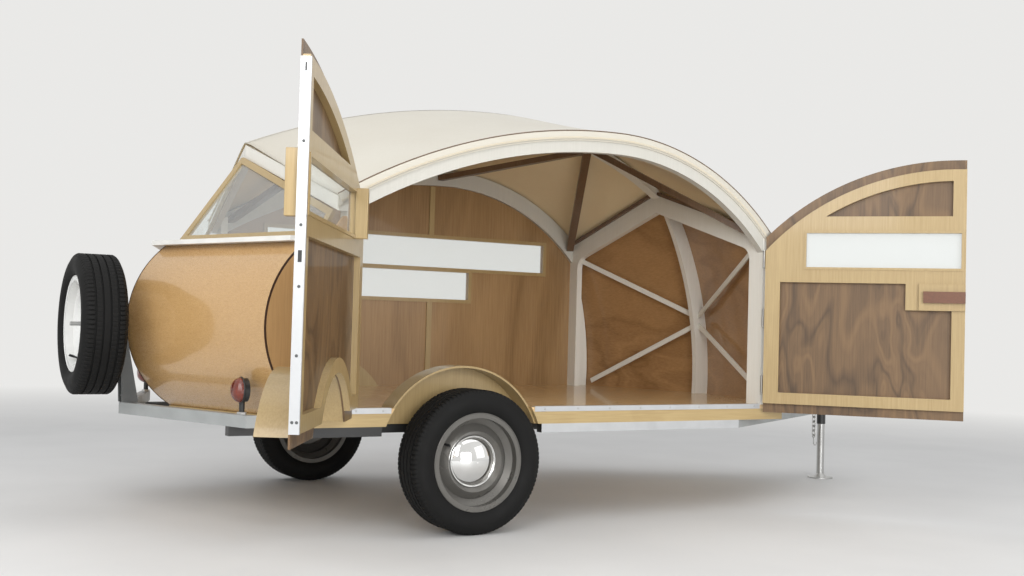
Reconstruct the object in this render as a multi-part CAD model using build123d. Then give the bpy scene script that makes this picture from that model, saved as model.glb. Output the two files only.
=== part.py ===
"""Wooden travel trailer with a canvas roof and two open side doors.

Millimetres, +X towards the tow coupler, +Y to the left side, +Z up.
Everything is laid out from the point on the ground under the middle of the axle,
and is moved at the end so that the mouth of the coupler socket is the origin.
"""
import math
import os

from build123d import *

# Wheels and axle
TYRE_R = 302.0
TYRE_W = 189.0
SIDEWALL_H = 112.0
SHOULDER_DROP = 16.0
SHOULDER_IN = 12.0
RIM_LIP = 16.0
RIM_WALL = 6.0
RIM_ROOT_T = 9.6
RIM_WELL_DROP = 26.0
RIM_SEAT_W = 28.0
RIM_SLOPE_W = 18.0
CROWN_H = 22.0
CROWN_W = 22.0
HUBCAP_H = 42.0
SPINDLE_R = 18.0
WHEEL_OUT = 36.0
DISC_OFFSET = 20.0
DRUM_L = 80.0
BEARING_GAP = 0.06
FIT_GAP = 0.4
OVERCUT = 1.0
AXLE_X = 130.0
AXLE_W = 60.0
ARM_T = 28.0
ARM_EYE_R = 25.0

# Body box
BODY_HALF = 886.0
SKIN_T = 6.0
DOOR_T = 24.0
RUN_GAP = 6.0
DECK_TOP = 520.0
DECK_T = 20.0
FASCIA_H = 54.0
FASCIA_T = 20.0
JOIST_W = 30.0
RAIL_H = 39.0
RAIL_W = 40.0
SILL_H = 23.0
SILL_T = 3.0

# Side arches and roof
ARCH_X = 776.0
ARCH_RISE = 1249.0
ARCH_FRONT_BOW = 1.433
ARCH_REAR_BOW = 2.044
ARCH_DEPTH = 91.0
ARCH_T = 40.0
CANVAS_T = 6.0
CANVAS_LAP = 5.0
CANVAS_PROW = 78.0
RIDGE_X = 650.0
RIDGE_RISE = 201.0
RIDGE_FRONT_R = 1870.0
RIDGE_REAR_R = 3400.0
RIDGE_BEAM_W = 46.0
RIDGE_BEAM_H = 34.0
TRIM_W = 40.0
TRIM_T = 7.0
RAFTER_W = 26.0
RAFTER_H = 18.0
ROOF_PITCH = 0.4

# Front wall
HINGE_FRONT_X = 1661.0
PORTAL_T = 35.0
PORTAL_POST_W = 99.0
PORTAL_RAIL_H = 105.0
PORTAL_FILLET = 70.0
PROW_R = 1860.0
PROW_LIFT = 100.0
PROW_REACH = 357.0
PROW_SHIFT = 250.0
PANEL_T = 12.0
RIB_T = 32.0
RIB_DEPTH = 87.0
BRACE_W = 24.0
BRACE_T = 8.0

# Rear wall
HINGE_REAR_X = -533.0
POST_T = 35.0
POST_W = 74.0
BARREL_T = 9.0
BARREL_DROP = 221.0
BARREL_LAP = 20.0
BARREL_TOP_BACK = 493.0
BARREL_FOOT_BACK = 445.0
BARREL_BULGE = 180.5
STERN_SHIFT = 316.0
LEDGE_T = 20.0
LEDGE_OVER = 62.0
LEDGE_W = 139.0
GABLE_W = 40.0
GABLE_H = 60.0
GABLE_SHIFT = 106.0
WINDOW_FRAME_W = 30.0
WINDOW_FRAME_T = 18.0
PANE_T = 4.0
GLASS_SET = 124.0
GLASS_BACK = 7.0

# Doors and side windows
DOOR_SPLIT_X = 720.0
DOOR_SKIN_DEPTH = 49.0
DOOR_FRAME_DEPTH = 95.0
DOOR_SKIN_LAP = 35.0
DOOR_FRAME_LIFT = 10.0
FRONT_DOOR_OPEN = 130.9
REAR_DOOR_OPEN = 121.8
STILE_W = 60.0
HINGE_STILE_W = 82.0
BOTTOM_RAIL_H = 55.0
PANEL_DROP = 75.0
EYEBROW_LIFT = 81.0
EYEBROW_RIM = 55.0
WINDOW_DROP = 64.0
WINDOW_H = 167.0
WINDOW_FRONT_IN = 205.0
WINDOW_REAR_IN = 233.0
WINDOW_EDGE = 20.0
BEAD_W = 12.0
BEAD_T = 4.0
LATCH_W = 208.0
LATCH_H = 126.0
LATCH_T = 14.0
HANDLE_W = 188.0
HANDLE_H = 54.0
HANDLE_T = 18.0
EDGE_STRIP_W = 24.0
EDGE_STRIP_T = 3.0
HINGE_SPAN = 90.0
HINGE_R = 7.0
HINGE_PIN_R = 3.5
HINGE_GAP = 0.1
HINGE_EDGE = 2.0
HINGE_SET = 1.0
HINGE_LEAF_W = 48.0
HINGE_LEAF_T = 3.0

# Wheel housings and fenders
WELL_CLEAR = 93.0
WELL_T = 8.0
WELL_IN = 146.0
FENDER_CLEAR = 100.0
FENDER_T = 12.0
FENDER_OUT = 187.0
ARCH_RING_W = 53.0

# Left wall
LEFT_STEP = 220.0
LEFT_GAP = 23.0
LEFT_LOWER_H = 160.0
LEFT_FRAME_W = 20.0
BATTEN_BACK = 33.0
BATTEN_W = 32.0
BATTEN_T = 10.0

# Chassis and tongue
RAIL_IN = 186.0
RAIL_BACK = 180.0
BEND_BACK = 131.0
TONGUE_REACH = 1370.0
TONGUE_END_Y = 66.0
TONGUE_DECK_BACK = 300.0
HEAD_T = 12.0
HEAD_BACK = 200.0
HEAD_AHEAD = 160.0
COUPLER_AHEAD = 100.0
BALL_R = 25.4
SOCKET_GAP = 0.3
SOCKET_DEPTH = 42.0
COUPLER_R = 40.0
NECK_BACK = 50.0
NECK_W = 64.0
LEVER_W = 22.0
LEVER_H = 34.0
JACK_BACK = 90.0
JACK_SLEEVE_R = 26.0
JACK_LEG_R = 22.0
JACK_FIT = 0.3
JACK_DROP = 116.0
JACK_RISE = 294.0
JACK_LAP = 125.0
JACK_FOOT_R = 75.0
JACK_FOOT_T = 8.0
JACK_CONE_H = 22.0
JACK_COLLAR_W = 14.0
CRANK_L = 150.0
CRANK_W = 18.0
CRANK_T = 10.0
CRANK_LIFT = 40.0
CRANK_SHAFT_R = 8.0
GRIP_R = 11.0
GRIP_H = 80.0
BEAM_BACK = 21.0
BEAM_W = 45.0
BEAM_H = 49.0
BEAM_IN = 54.0

# Spare wheel, lamps and chain
SPARE_CLEAR = 52.5
SPARE_RISE = 311.0
SPARE_ARM_W = 64.0
SPARE_ARM_T = 10.0
SPARE_ARM_GAP = 12.0
SPARE_BOSS_R = 45.0
SPARE_STUD_R = 9.0
SPARE_STUD_L = 70.0
SPARE_NUT_R = 30.0
SPARE_NUT_T = 16.0
LAMP_SET = 8.0
LAMP_IN = 136.0
LAMP_RISE = 96.0
LAMP_R = 47.0
LAMP_T = 34.0
LENS_R = 41.0
LENS_L = 20.0
LENS_SINK = 8.0
STALK_R = 11.0
CHAIN_BACK = 55.0
CHAIN_PIN_R = 5.0
CHAIN_PIN_HEAD_R = 9.0
CHAIN_PITCH = 27.0
CHAIN_WIRE_R = 3.5
CHAIN_LINK_R = 10.0

# Shares and counts
RIM_SHARE = 0.804
TREAD_SHARE = 0.72
HUBCAP_SHARE = 0.5526
DRUM_SHARE = 0.484
HINGE_SHARES = (0.1125, 0.484, 0.81)
CROSS_SHARES = (0.0, 0.46, 0.74)
JOIST_SHARES = (0.055, 0.46, 0.74, 0.985)
BRACE_SHARES = ((0.79, 0.484), (0.056, 0.428))
RAFTER_SHARES = ((0.79, 0.562), (0.198, 0.462))
CHAIN_LINKS = 6
SIDES = (-1, 1)
RIGHT, LEFT = SIDES
FAR = 6000.0

# Worked out from the sizes above: wheels
RIM_SEAT_R = TYRE_R - SIDEWALL_H
RIM_FLANGE_R = RIM_SEAT_R + RIM_LIP
RIM_W = RIM_SHARE * TYRE_W
TREAD_W = TREAD_SHARE * TYRE_W
HUBCAP_R = HUBCAP_SHARE * RIM_SEAT_R
DRUM_R = DRUM_SHARE * RIM_SEAT_R
WHEEL_Y = BODY_HALF + WHEEL_OUT
WELL_R = TYRE_R + WELL_CLEAR
FENDER_R = TYRE_R + FENDER_CLEAR
CUT_R = WELL_R - WELL_T

# Widths and heights of the body
WALL_OUT = BODY_HALF - SKIN_T
WALL_IN = WALL_OUT - DOOR_T
FRAME_OUT = WALL_OUT - RUN_GAP
DECK_HALF = FRAME_OUT - SILL_T
CANVAS_HALF = FRAME_OUT + TRIM_T
WELL_INNER_Y = BODY_HALF - WELL_IN
AXLE_HALF = WELL_INNER_Y - RUN_GAP
RAIL_Y = BODY_HALF - RAIL_IN
BEAM_HALF = FRAME_OUT - BEAM_IN
LAMP_Y = BODY_HALF - LAMP_IN
DECK_FOOT = DECK_TOP - DECK_T
FASCIA_FOOT = DECK_FOOT - FASCIA_H
RAIL_FOOT = FASCIA_FOOT - RAIL_H
BEAM_TOP = FASCIA_FOOT + BEAM_H
ARCH_TOP = DECK_TOP + ARCH_RISE
RIDGE_Z = ARCH_TOP + RIDGE_RISE
DOOR_SKIN_FOOT = DECK_TOP - DOOR_SKIN_LAP
DOOR_FRAME_FOOT = DECK_TOP + DOOR_FRAME_LIFT

# Places along the body
PORTAL_X = HINGE_FRONT_X + HINGE_SET
PORTAL_FACE_X = PORTAL_X + PORTAL_T
POST_X = HINGE_REAR_X - HINGE_SET
POST_FACE_X = POST_X - POST_T
PROW_X = PORTAL_FACE_X + PROW_REACH
PROW_Z = DECK_TOP + PROW_LIFT
PROW_SIDE = PROW_SHIFT / FRAME_OUT
STERN_SIDE = STERN_SHIFT / FRAME_OUT
GABLE_X = POST_FACE_X - GABLE_SHIFT
GABLE_REAR_X = GABLE_X - GABLE_W
CANVAS_FRONT_X = PORTAL_FACE_X + CANVAS_LAP
CANVAS_REAR_X = POST_FACE_X - GABLE_W - CANVAS_LAP
RIDGE_FRONT_X = PORTAL_FACE_X + CANVAS_PROW
RIDGE_REAR_X = GABLE_REAR_X - CANVAS_LAP
WINDOW_FRONT_X = HINGE_FRONT_X - WINDOW_FRONT_IN
WINDOW_REAR_X = HINGE_REAR_X + WINDOW_REAR_IN
EDGE_BEND_X = HINGE_FRONT_X - BEND_BACK
RAIL_FRONT_X = EDGE_BEND_X - RAIL_BACK
TONGUE_END_X = EDGE_BEND_X + TONGUE_REACH
TONGUE_DECK_X = TONGUE_END_X - TONGUE_DECK_BACK
TONGUE_SLOPE = (DECK_HALF - RAIL_W / 2 - TONGUE_END_Y) / TONGUE_REACH
HEAD_REAR_X = TONGUE_END_X - HEAD_BACK
HEAD_FRONT_X = TONGUE_END_X + HEAD_AHEAD
COUPLER_X = HEAD_FRONT_X + COUPLER_AHEAD
JACK_X = HEAD_FRONT_X - JACK_BACK
JACK_SLEEVE_FOOT = FASCIA_FOOT - JACK_DROP
JACK_SLEEVE_TOP = FASCIA_FOOT + JACK_RISE
CHAIN_X = TONGUE_END_X - CHAIN_BACK
CHAIN_PIN_Z = RAIL_FOOT + RAIL_H / 2
CHAIN_LINK_STRAIGHT = CHAIN_PITCH - 2 * CHAIN_LINK_R + 2 * (CHAIN_WIRE_R + FIT_GAP)


def arch_radius(x: float) -> float:
    """Outer radius of the side arch on the front or rear side of its crown."""
    if x > ARCH_X:
        return ARCH_FRONT_BOW * (HINGE_FRONT_X - ARCH_X)
    return ARCH_REAR_BOW * (ARCH_X - HINGE_REAR_X)


def arch_z(x: float, depth: float = 0.0) -> float:
    """Height of the side arch at one place, less a depth measured along its radius."""
    radius = arch_radius(x)
    return ARCH_TOP - radius + math.sqrt((radius - depth) ** 2 - (x - ARCH_X) ** 2)


def ridge_z(x: float, depth: float = 0.0) -> float:
    """Height of the ridge line, less a depth measured along its radius."""
    radius = RIDGE_FRONT_R if x > RIDGE_X else RIDGE_REAR_R
    return RIDGE_Z - radius + math.sqrt((radius - depth) ** 2 - (x - RIDGE_X) ** 2)


# Heights that follow the arch
WINDOW_CEILING = min(
    arch_z(WINDOW_FRONT_X + LEFT_FRAME_W, ARCH_DEPTH), arch_z(WINDOW_REAR_X - LEFT_FRAME_W, ARCH_DEPTH)
)
WINDOW_TOP = WINDOW_CEILING - WINDOW_DROP
WINDOW_FOOT = WINDOW_TOP - WINDOW_H
PANEL_TOP = WINDOW_FOOT - PANEL_DROP
EYEBROW_FOOT = WINDOW_TOP + EYEBROW_LIFT
LEFT_LOWER_TOP = WINDOW_FOOT - LEFT_GAP
LEFT_LOWER_FOOT = LEFT_LOWER_TOP - LEFT_LOWER_H
HINGE_ROOM = min(arch_z(HINGE_FRONT_X), arch_z(HINGE_REAR_X)) - DECK_TOP
POST_TOP = arch_z(POST_FACE_X) - RUN_GAP
GABLE_TOP = ridge_z(GABLE_REAR_X, CANVAS_T) - RUN_GAP
GABLE_FOOT = GABLE_TOP - GABLE_H
GABLE_SIDE_TOP = arch_z(POST_FACE_X - GABLE_W) - RUN_GAP
GABLE_DROP = GABLE_TOP - GABLE_SIDE_TOP

# The round stern, an arc over the chord between its top and foot edges
BARREL_TOP = arch_z(POST_FACE_X) - BARREL_DROP
BARREL_FOOT = DECK_FOOT - BARREL_LAP
BARREL_TOP_X = POST_FACE_X - BARREL_TOP_BACK
BARREL_FOOT_X = POST_FACE_X - BARREL_FOOT_BACK
BARREL_CHORD = math.hypot(BARREL_TOP - BARREL_FOOT, BARREL_TOP_X - BARREL_FOOT_X)
BARREL_R = (BARREL_CHORD ** 2 / 4 + BARREL_BULGE ** 2) / (2 * BARREL_BULGE)
BARREL_IN = (BARREL_R - BARREL_BULGE) / BARREL_CHORD
BARREL_X = (BARREL_TOP_X + BARREL_FOOT_X) / 2 + BARREL_IN * (BARREL_TOP - BARREL_FOOT)
BARREL_Z = (BARREL_TOP + BARREL_FOOT) / 2 - BARREL_IN * (BARREL_TOP_X - BARREL_FOOT_X)
BARREL_REAR_X = BARREL_X - BARREL_R
LEDGE_TIP_X = BARREL_TOP_X - LEDGE_OVER
LEDGE_TOP = BARREL_TOP + LEDGE_T
GLASS_FOOT_X = LEDGE_TIP_X + GLASS_SET
GLASS_TOP_X = GABLE_REAR_X - GLASS_BACK
GLASS_RAKE = (GLASS_TOP_X - GLASS_FOOT_X) / (GABLE_FOOT - LEDGE_TOP)
BEAM_TIP_X = BARREL_REAR_X - BEAM_BACK
SPARE_X = BARREL_REAR_X - SPARE_CLEAR - TYRE_W / 2
SPARE_Z = DECK_TOP + SPARE_RISE
LAMP_X = BEAM_TIP_X + BEAM_W / 2 + STERN_SIDE * LAMP_Y + LAMP_SET
LAMP_Z = BEAM_TOP + LAMP_RISE


def wall_prism(sketch: Sketch, y_low: float, y_high: float) -> Part:
    """Raise a sketch drawn in X and Z into a solid between two Y planes."""
    return extrude(Plane.XZ.offset(-y_high) * sketch, y_high - y_low)


def slanted_prism(sketch: Sketch, side: int, shift: float, drop: float = 0.0) -> Part:
    """Raise an X and Z sketch from the middle plane out to one side, sheared along X and Z."""
    way = Vector(shift, side * FRAME_OUT, -drop)
    return extrude(Plane.XZ * sketch, amount=way.length, dir=way)


def side_prism(sketch: Sketch, side: int, y_in: float, y_out: float) -> Part:
    """Raise an X and Z sketch between two distances from the middle plane, on one side."""
    return wall_prism(sketch, min(side * y_in, side * y_out), max(side * y_in, side * y_out))


def box(x_low: float, x_high: float, y_low: float, y_high: float, z_low: float, z_high: float) -> Part:
    """A block between six planes."""
    middle = ((x_low + x_high) / 2, (y_low + y_high) / 2, (z_low + z_high) / 2)
    return Pos(*middle) * Box(x_high - x_low, y_high - y_low, z_high - z_low)


def rod(x: float, y: float, z_low: float, z_high: float, radius: float) -> Part:
    """An upright round bar between two heights."""
    return Pos(x, y, z_low) * extrude(Circle(radius), z_high - z_low)


def wide(half: float) -> Part:
    """A very long block of one half width, to cut slanted pieces off at their ends."""
    return box(-FAR, FAR, -half, half, -FAR, FAR)


def rectangle(x_low: float, x_high: float, z_low: float, z_high: float) -> Sketch:
    """A rectangle in X and Z between four lines."""
    return Pos((x_low + x_high) / 2, (z_low + z_high) / 2) * Rectangle(x_high - x_low, z_high - z_low)


def polygon(*points: tuple) -> Sketch:
    """A closed outline of straight lines."""
    return make_face(Polyline(*points, close=True))


def disc(x: float, z: float, radius: float) -> Sketch:
    """A full disc in X and Z."""
    return Pos(x, z) * Circle(radius)


def grown(area: Sketch, margin: float) -> Sketch:
    """A rectangle made larger by a margin on each side."""
    span = area.bounding_box()
    return rectangle(span.min.X - margin, span.max.X + margin, span.min.Y - margin, span.max.Y + margin)


def under_arch(x_low: float, x_high: float, z_low: float, depth: float) -> Sketch:
    """The side outline of a wall or door: straight foot and edges under the arch of two arcs."""
    area = Sketch()
    for start, end in ((x_low, min(x_high, ARCH_X)), (max(x_low, ARCH_X), x_high)):
        if end > start:
            radius = arch_radius((start + end) / 2)
            strip = rectangle(start, end, z_low, ARCH_TOP)
            area += strip & disc(ARCH_X, ARCH_TOP - radius, radius - depth)
    return area


def arch_band(x_low: float, x_high: float, out_depth: float, in_depth: float) -> Sketch:
    """The band of a side arch between two places along the body and two depths."""
    outer = under_arch(x_low, x_high, DECK_TOP, out_depth)
    return outer - under_arch(x_low - OVERCUT, x_high + OVERCUT, DECK_TOP - OVERCUT, in_depth)


def crown_band(crown: tuple, front_x: float, rear_x: float, line, top: float, foot: float) -> Sketch:
    """The band under a line of two tangent arcs, between two depths, from front to rear."""
    def arcs(depth: float) -> tuple:
        peak = (crown[0], crown[1] - depth)
        pair = []
        for end_x in (front_x, rear_x):
            middle_x = (end_x + crown[0]) / 2
            pair.append(ThreePointArc(peak, (middle_x, line(middle_x, depth)), (end_x, line(end_x, depth))))
        return tuple(pair)

    upper, lower = arcs(top), arcs(foot)
    ends = [Line(upper[i] @ 1, lower[i] @ 1) for i in range(2)]
    return make_face([*upper, *lower, *ends])


def prow_x(z: float) -> float:
    """Inner face of the front panels on the middle plane."""
    return PROW_X - PROW_R + math.sqrt(PROW_R ** 2 - (z - PROW_Z) ** 2)


def barrel_x(z: float, radius: float) -> float:
    """Place of the round stern on the middle plane at one height."""
    return BARREL_X - math.sqrt(radius ** 2 - (z - BARREL_Z) ** 2)


def bar_between(start: tuple, end: tuple, width: float, height: float) -> Part:
    """A straight rectangular bar between two points, its height in the upright plane."""
    way = Vector(*end) - Vector(*start)
    level = Vector(-way.Y, way.X, 0)
    return extrude(Plane(start, x_dir=level, z_dir=way) * Rectangle(width, height), way.length)


def tongue_y(x: float) -> float:
    """Distance of a tongue rail's outer edge from the middle plane."""
    return TONGUE_END_Y + RAIL_W / 2 + TONGUE_SLOPE * (TONGUE_END_X - x)


def floor_x(share: float) -> float:
    """A place under the floor, as a share of the way from the rear posts to the bend of the edge rails."""
    return POST_X + share * (EDGE_BEND_X - POST_X)


def on_wheel(side: int) -> Location:
    """Where a wheel made round the Z axis, outboard side up, belongs on the axle."""
    return Pos(0, side * WHEEL_Y, TYRE_R) * Rot(-90 * side, 0, 0)


def on_spare() -> Location:
    """Where the spare wheel belongs behind the stern, its outboard side to the rear."""
    return Pos(SPARE_X, 0, SPARE_Z) * Rot(0, -90, 0)


def opened(door: str) -> Location:
    """Turn a door from shut to the open place that it has at rest."""
    hinge_x = HINGE_FRONT_X if door == "front" else HINGE_REAR_X
    turn = FRONT_DOOR_OPEN if door == "front" else -REAR_DOOR_OPEN
    return Pos(hinge_x, -BODY_HALF, 0) * Rot(0, 0, turn) * Pos(-hinge_x, BODY_HALF, 0)


def tyre() -> Part:
    """A road tyre round the Z axis, seated on the rim."""
    half = TYRE_W / 2
    bead = RIM_W / 2 - RIM_WALL - FIT_GAP
    foot_r = RIM_SEAT_R + FIT_GAP
    lip_r = RIM_FLANGE_R + FIT_GAP
    wall_foot = bead + RIM_WALL
    shoulder_r = TYRE_R - SHOULDER_DROP
    belly_r = (lip_r + shoulder_r) / 2
    edge_r = TYRE_R - SHOULDER_DROP / 4
    edge_w = (half - SHOULDER_IN + TREAD_W / 2) / 2

    def flank(way: int) -> list:
        bead_top = (lip_r, way * bead)
        wall = (lip_r, way * wall_foot)
        shoulder = (shoulder_r, way * (half - SHOULDER_IN))
        return [
            Line((foot_r, way * bead), bead_top),
            Line(bead_top, wall),
            ThreePointArc(wall, (belly_r, way * half), shoulder),
            ThreePointArc(shoulder, (edge_r, way * edge_w), (TYRE_R, way * TREAD_W / 2)),
        ]

    tread = Line((TYRE_R, -TREAD_W / 2), (TYRE_R, TREAD_W / 2))
    seat = Line((foot_r, -bead), (foot_r, bead))
    section = make_face(flank(1) + flank(-1) + [tread, seat])
    return revolve(Plane.XZ * section, Axis.Z)


def rim(bore_r: float) -> Part:
    """A pressed wheel round the Z axis: flanged barrel, dished disc and hub hole."""
    half = RIM_W / 2
    well_r = RIM_SEAT_R - RIM_WELL_DROP
    seat_half = half - RIM_WALL
    slope_top = seat_half - RIM_SEAT_W
    slope_foot = slope_top - RIM_SLOPE_W
    crown_r = HUBCAP_R + CROWN_W
    crown_z = DISC_OFFSET + CROWN_H
    root_z = min(slope_foot, crown_z) - 2 * RIM_WALL
    outer = [
        (RIM_FLANGE_R, half),
        (RIM_FLANGE_R, seat_half),
        (RIM_SEAT_R, seat_half),
        (RIM_SEAT_R, slope_top),
        (well_r, slope_foot),
        (well_r, -slope_foot),
        (RIM_SEAT_R, -slope_top),
        (RIM_SEAT_R, -seat_half),
        (RIM_FLANGE_R, -seat_half),
        (RIM_FLANGE_R, -half),
    ]
    inner = [
        (RIM_SEAT_R - RIM_WALL, -half),
        (RIM_SEAT_R - RIM_WALL, -slope_top),
        (well_r - RIM_WALL, -slope_foot),
        (well_r - RIM_WALL, root_z),
        (crown_r + RIM_WALL / 2, crown_z),
        (HUBCAP_R + RIM_WALL, DISC_OFFSET),
        (bore_r, DISC_OFFSET),
        (bore_r, DISC_OFFSET + RIM_WALL),
        (HUBCAP_R + RIM_WALL / 2, DISC_OFFSET + RIM_WALL),
        (crown_r, crown_z + RIM_WALL),
        (well_r - RIM_WALL, root_z + RIM_ROOT_T),
        (well_r - RIM_WALL, slope_foot),
        (RIM_SEAT_R - RIM_WALL, slope_top),
        (RIM_SEAT_R - RIM_WALL, half),
    ]
    return revolve(Plane.XZ * polygon(*outer, *inner), Axis.Z)


def drum() -> Part:
    """The hub drum behind the disc, bored for the spindle."""
    shell = rod(0, 0, DISC_OFFSET - DRUM_L, DISC_OFFSET, DRUM_R)
    return shell - Cylinder(SPINDLE_R + BEARING_GAP, 4 * DRUM_L)


def hubcap() -> Part:
    """A domed cap over the hub, hollow behind."""
    ball_r = (HUBCAP_R ** 2 + HUBCAP_H ** 2) / (2 * HUBCAP_H)
    middle = Pos(0, 0, HUBCAP_H - ball_r)
    shell = middle * Sphere(ball_r) - middle * Sphere(ball_r - SILL_T)
    return Pos(0, 0, DISC_OFFSET + RIM_WALL) * (shell & rod(0, 0, 0, 2 * HUBCAP_H, 2 * HUBCAP_R))


def wheel_pieces() -> dict:
    """Tyre, rim with drum, and hubcap of both road wheels."""
    pieces = {}
    road_rim = rim(SPINDLE_R + RIM_WALL) + drum()
    for name, side in (("right", RIGHT), ("left", LEFT)):
        pieces[f"{name}_tyre"] = on_wheel(side) * tyre()
        pieces[f"{name}_rim"] = on_wheel(side) * road_rim
        pieces[f"{name}_hubcap"] = on_wheel(side) * hubcap()
    return pieces


def spare_pieces() -> dict:
    """The spare wheel and the leaning arm that carries it on the tip of the rear beam."""
    face_x = SPARE_X - DISC_OFFSET
    arm_top = SPARE_Z + SPARE_BOSS_R + SPARE_ARM_GAP
    foot_x = BEAM_TIP_X + BEAM_W / 2
    back_x = SPARE_X + TYRE_W / 2 + SPARE_ARM_GAP
    outline = polygon(
        (foot_x, BEAM_TOP),
        (foot_x + SPARE_ARM_T, BEAM_TOP),
        (back_x + SPARE_ARM_T, arm_top),
        (back_x, arm_top),
    )
    arm = wall_prism(outline, -SPARE_ARM_W / 2, SPARE_ARM_W / 2)

    def bolt(shape: Sketch, start_x: float, length: float) -> Part:
        return Pos(start_x, 0, SPARE_Z) * Rot(0, -90, 0) * extrude(shape, length)

    boss_x = back_x + SPARE_ARM_T / 2
    arm += bolt(Circle(SPARE_BOSS_R), boss_x, boss_x - face_x)
    arm += bolt(Circle(SPARE_STUD_R), face_x, SPARE_STUD_L)
    hexagon = RegularPolygon(SPARE_NUT_R, 6) - Circle(SPARE_STUD_R + FIT_GAP)
    return {
        "spare_arm": arm,
        "spare_rim": on_spare() * rim(SPARE_STUD_R + FIT_GAP),
        "spare_tyre": on_spare() * tyre(),
        "spare_nut": bolt(hexagon, face_x - RIM_WALL, SPARE_NUT_T),
    }


def chassis_pieces() -> dict:
    """Steel rails, cross members, rear beam, tongue and the axle."""
    rear_x = BEAM_TIP_X + STERN_SIDE * (RAIL_Y + RAIL_W / 2)
    chassis = Part()
    for side in SIDES:
        low = side * RAIL_Y - RAIL_W / 2
        chassis += box(rear_x, RAIL_FRONT_X, low, low + RAIL_W, RAIL_FOOT, FASCIA_FOOT)
    inner = RAIL_Y - RAIL_W / 2
    for share in CROSS_SHARES:
        low = floor_x(share) - RAIL_W / 2
        chassis += box(low, low + RAIL_W, -inner, inner, RAIL_FOOT, FASCIA_FOOT)

    gap_x = math.sqrt(WELL_R ** 2 - (TYRE_R - RAIL_FOOT) ** 2) + RUN_GAP
    stern_x = barrel_x(BARREL_FOOT, BARREL_R) + STERN_SHIFT
    edge = Part()
    for side in SIDES:
        low, high = sorted((side * (DECK_HALF - RAIL_W), side * DECK_HALF))
        for start, end in ((gap_x, EDGE_BEND_X), (stern_x, -gap_x)):
            edge += box(start, end, low, high, RAIL_FOOT, FASCIA_FOOT)

    section = rectangle(BEAM_TIP_X, BEAM_TIP_X + BEAM_W, FASCIA_FOOT, BEAM_TOP)
    beam = Part() + [slanted_prism(section, s, STERN_SHIFT) & wide(BEAM_HALF) for s in SIDES]

    axle = box(AXLE_X - AXLE_W / 2, AXLE_X + AXLE_W / 2, -AXLE_HALF, AXLE_HALF, RAIL_FOOT - AXLE_W, RAIL_FOOT)
    ends = disc(AXLE_X, RAIL_FOOT - AXLE_W / 2, AXLE_W / 2) + disc(0, TYRE_R, ARM_EYE_R)
    arm = make_hull(ends.edges())
    hub_y = WHEEL_Y + DISC_OFFSET - FIT_GAP
    for side in SIDES:
        axle += side_prism(arm, side, AXLE_HALF, AXLE_HALF + ARM_T)
        axle += side_prism(disc(0, TYRE_R, SPINDLE_R), side, AXLE_HALF, hub_y)
    return {
        "chassis_frame": chassis,
        "edge_rails": edge,
        "rear_beam": beam,
        "tongue_frame": tongue_frame(),
        "axle": axle,
    }


def tongue_frame() -> Part:
    """The two tongue rails, the plate that joins them and the pin for the safety chain."""
    tongue = Part()
    for side in SIDES:
        outline = polygon(
            (EDGE_BEND_X, side * tongue_y(EDGE_BEND_X)),
            (TONGUE_END_X, side * tongue_y(TONGUE_END_X)),
            (TONGUE_END_X, side * (tongue_y(TONGUE_END_X) - RAIL_W)),
            (EDGE_BEND_X, side * (tongue_y(EDGE_BEND_X) - RAIL_W)),
        )
        tongue += extrude(Plane.XY.offset(RAIL_FOOT) * outline, RAIL_H)
    head = polygon(
        (HEAD_REAR_X, -tongue_y(HEAD_REAR_X)),
        (HEAD_FRONT_X, -NECK_W / 2),
        (HEAD_FRONT_X, NECK_W / 2),
        (HEAD_REAR_X, tongue_y(HEAD_REAR_X)),
    )
    tongue += extrude(Plane.XY.offset(FASCIA_FOOT) * head, HEAD_T)
    tongue -= rod(JACK_X, 0, RAIL_FOOT, FASCIA_FOOT + 2 * HEAD_T, JACK_SLEEVE_R + FIT_GAP)
    pin_y = tongue_y(CHAIN_X) - RAIL_W / 2
    pin_l = RAIL_W / 2 + CHAIN_LINK_STRAIGHT + CHAIN_LINK_R + 2 * CHAIN_WIRE_R
    pin = Pos(CHAIN_X, -pin_y, CHAIN_PIN_Z) * Rot(-90, 0, 0)
    tongue += pin * rod(0, 0, 0, pin_l, CHAIN_PIN_R)
    return tongue + pin * rod(0, 0, pin_l, pin_l + CHAIN_WIRE_R, CHAIN_PIN_HEAD_R)


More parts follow.
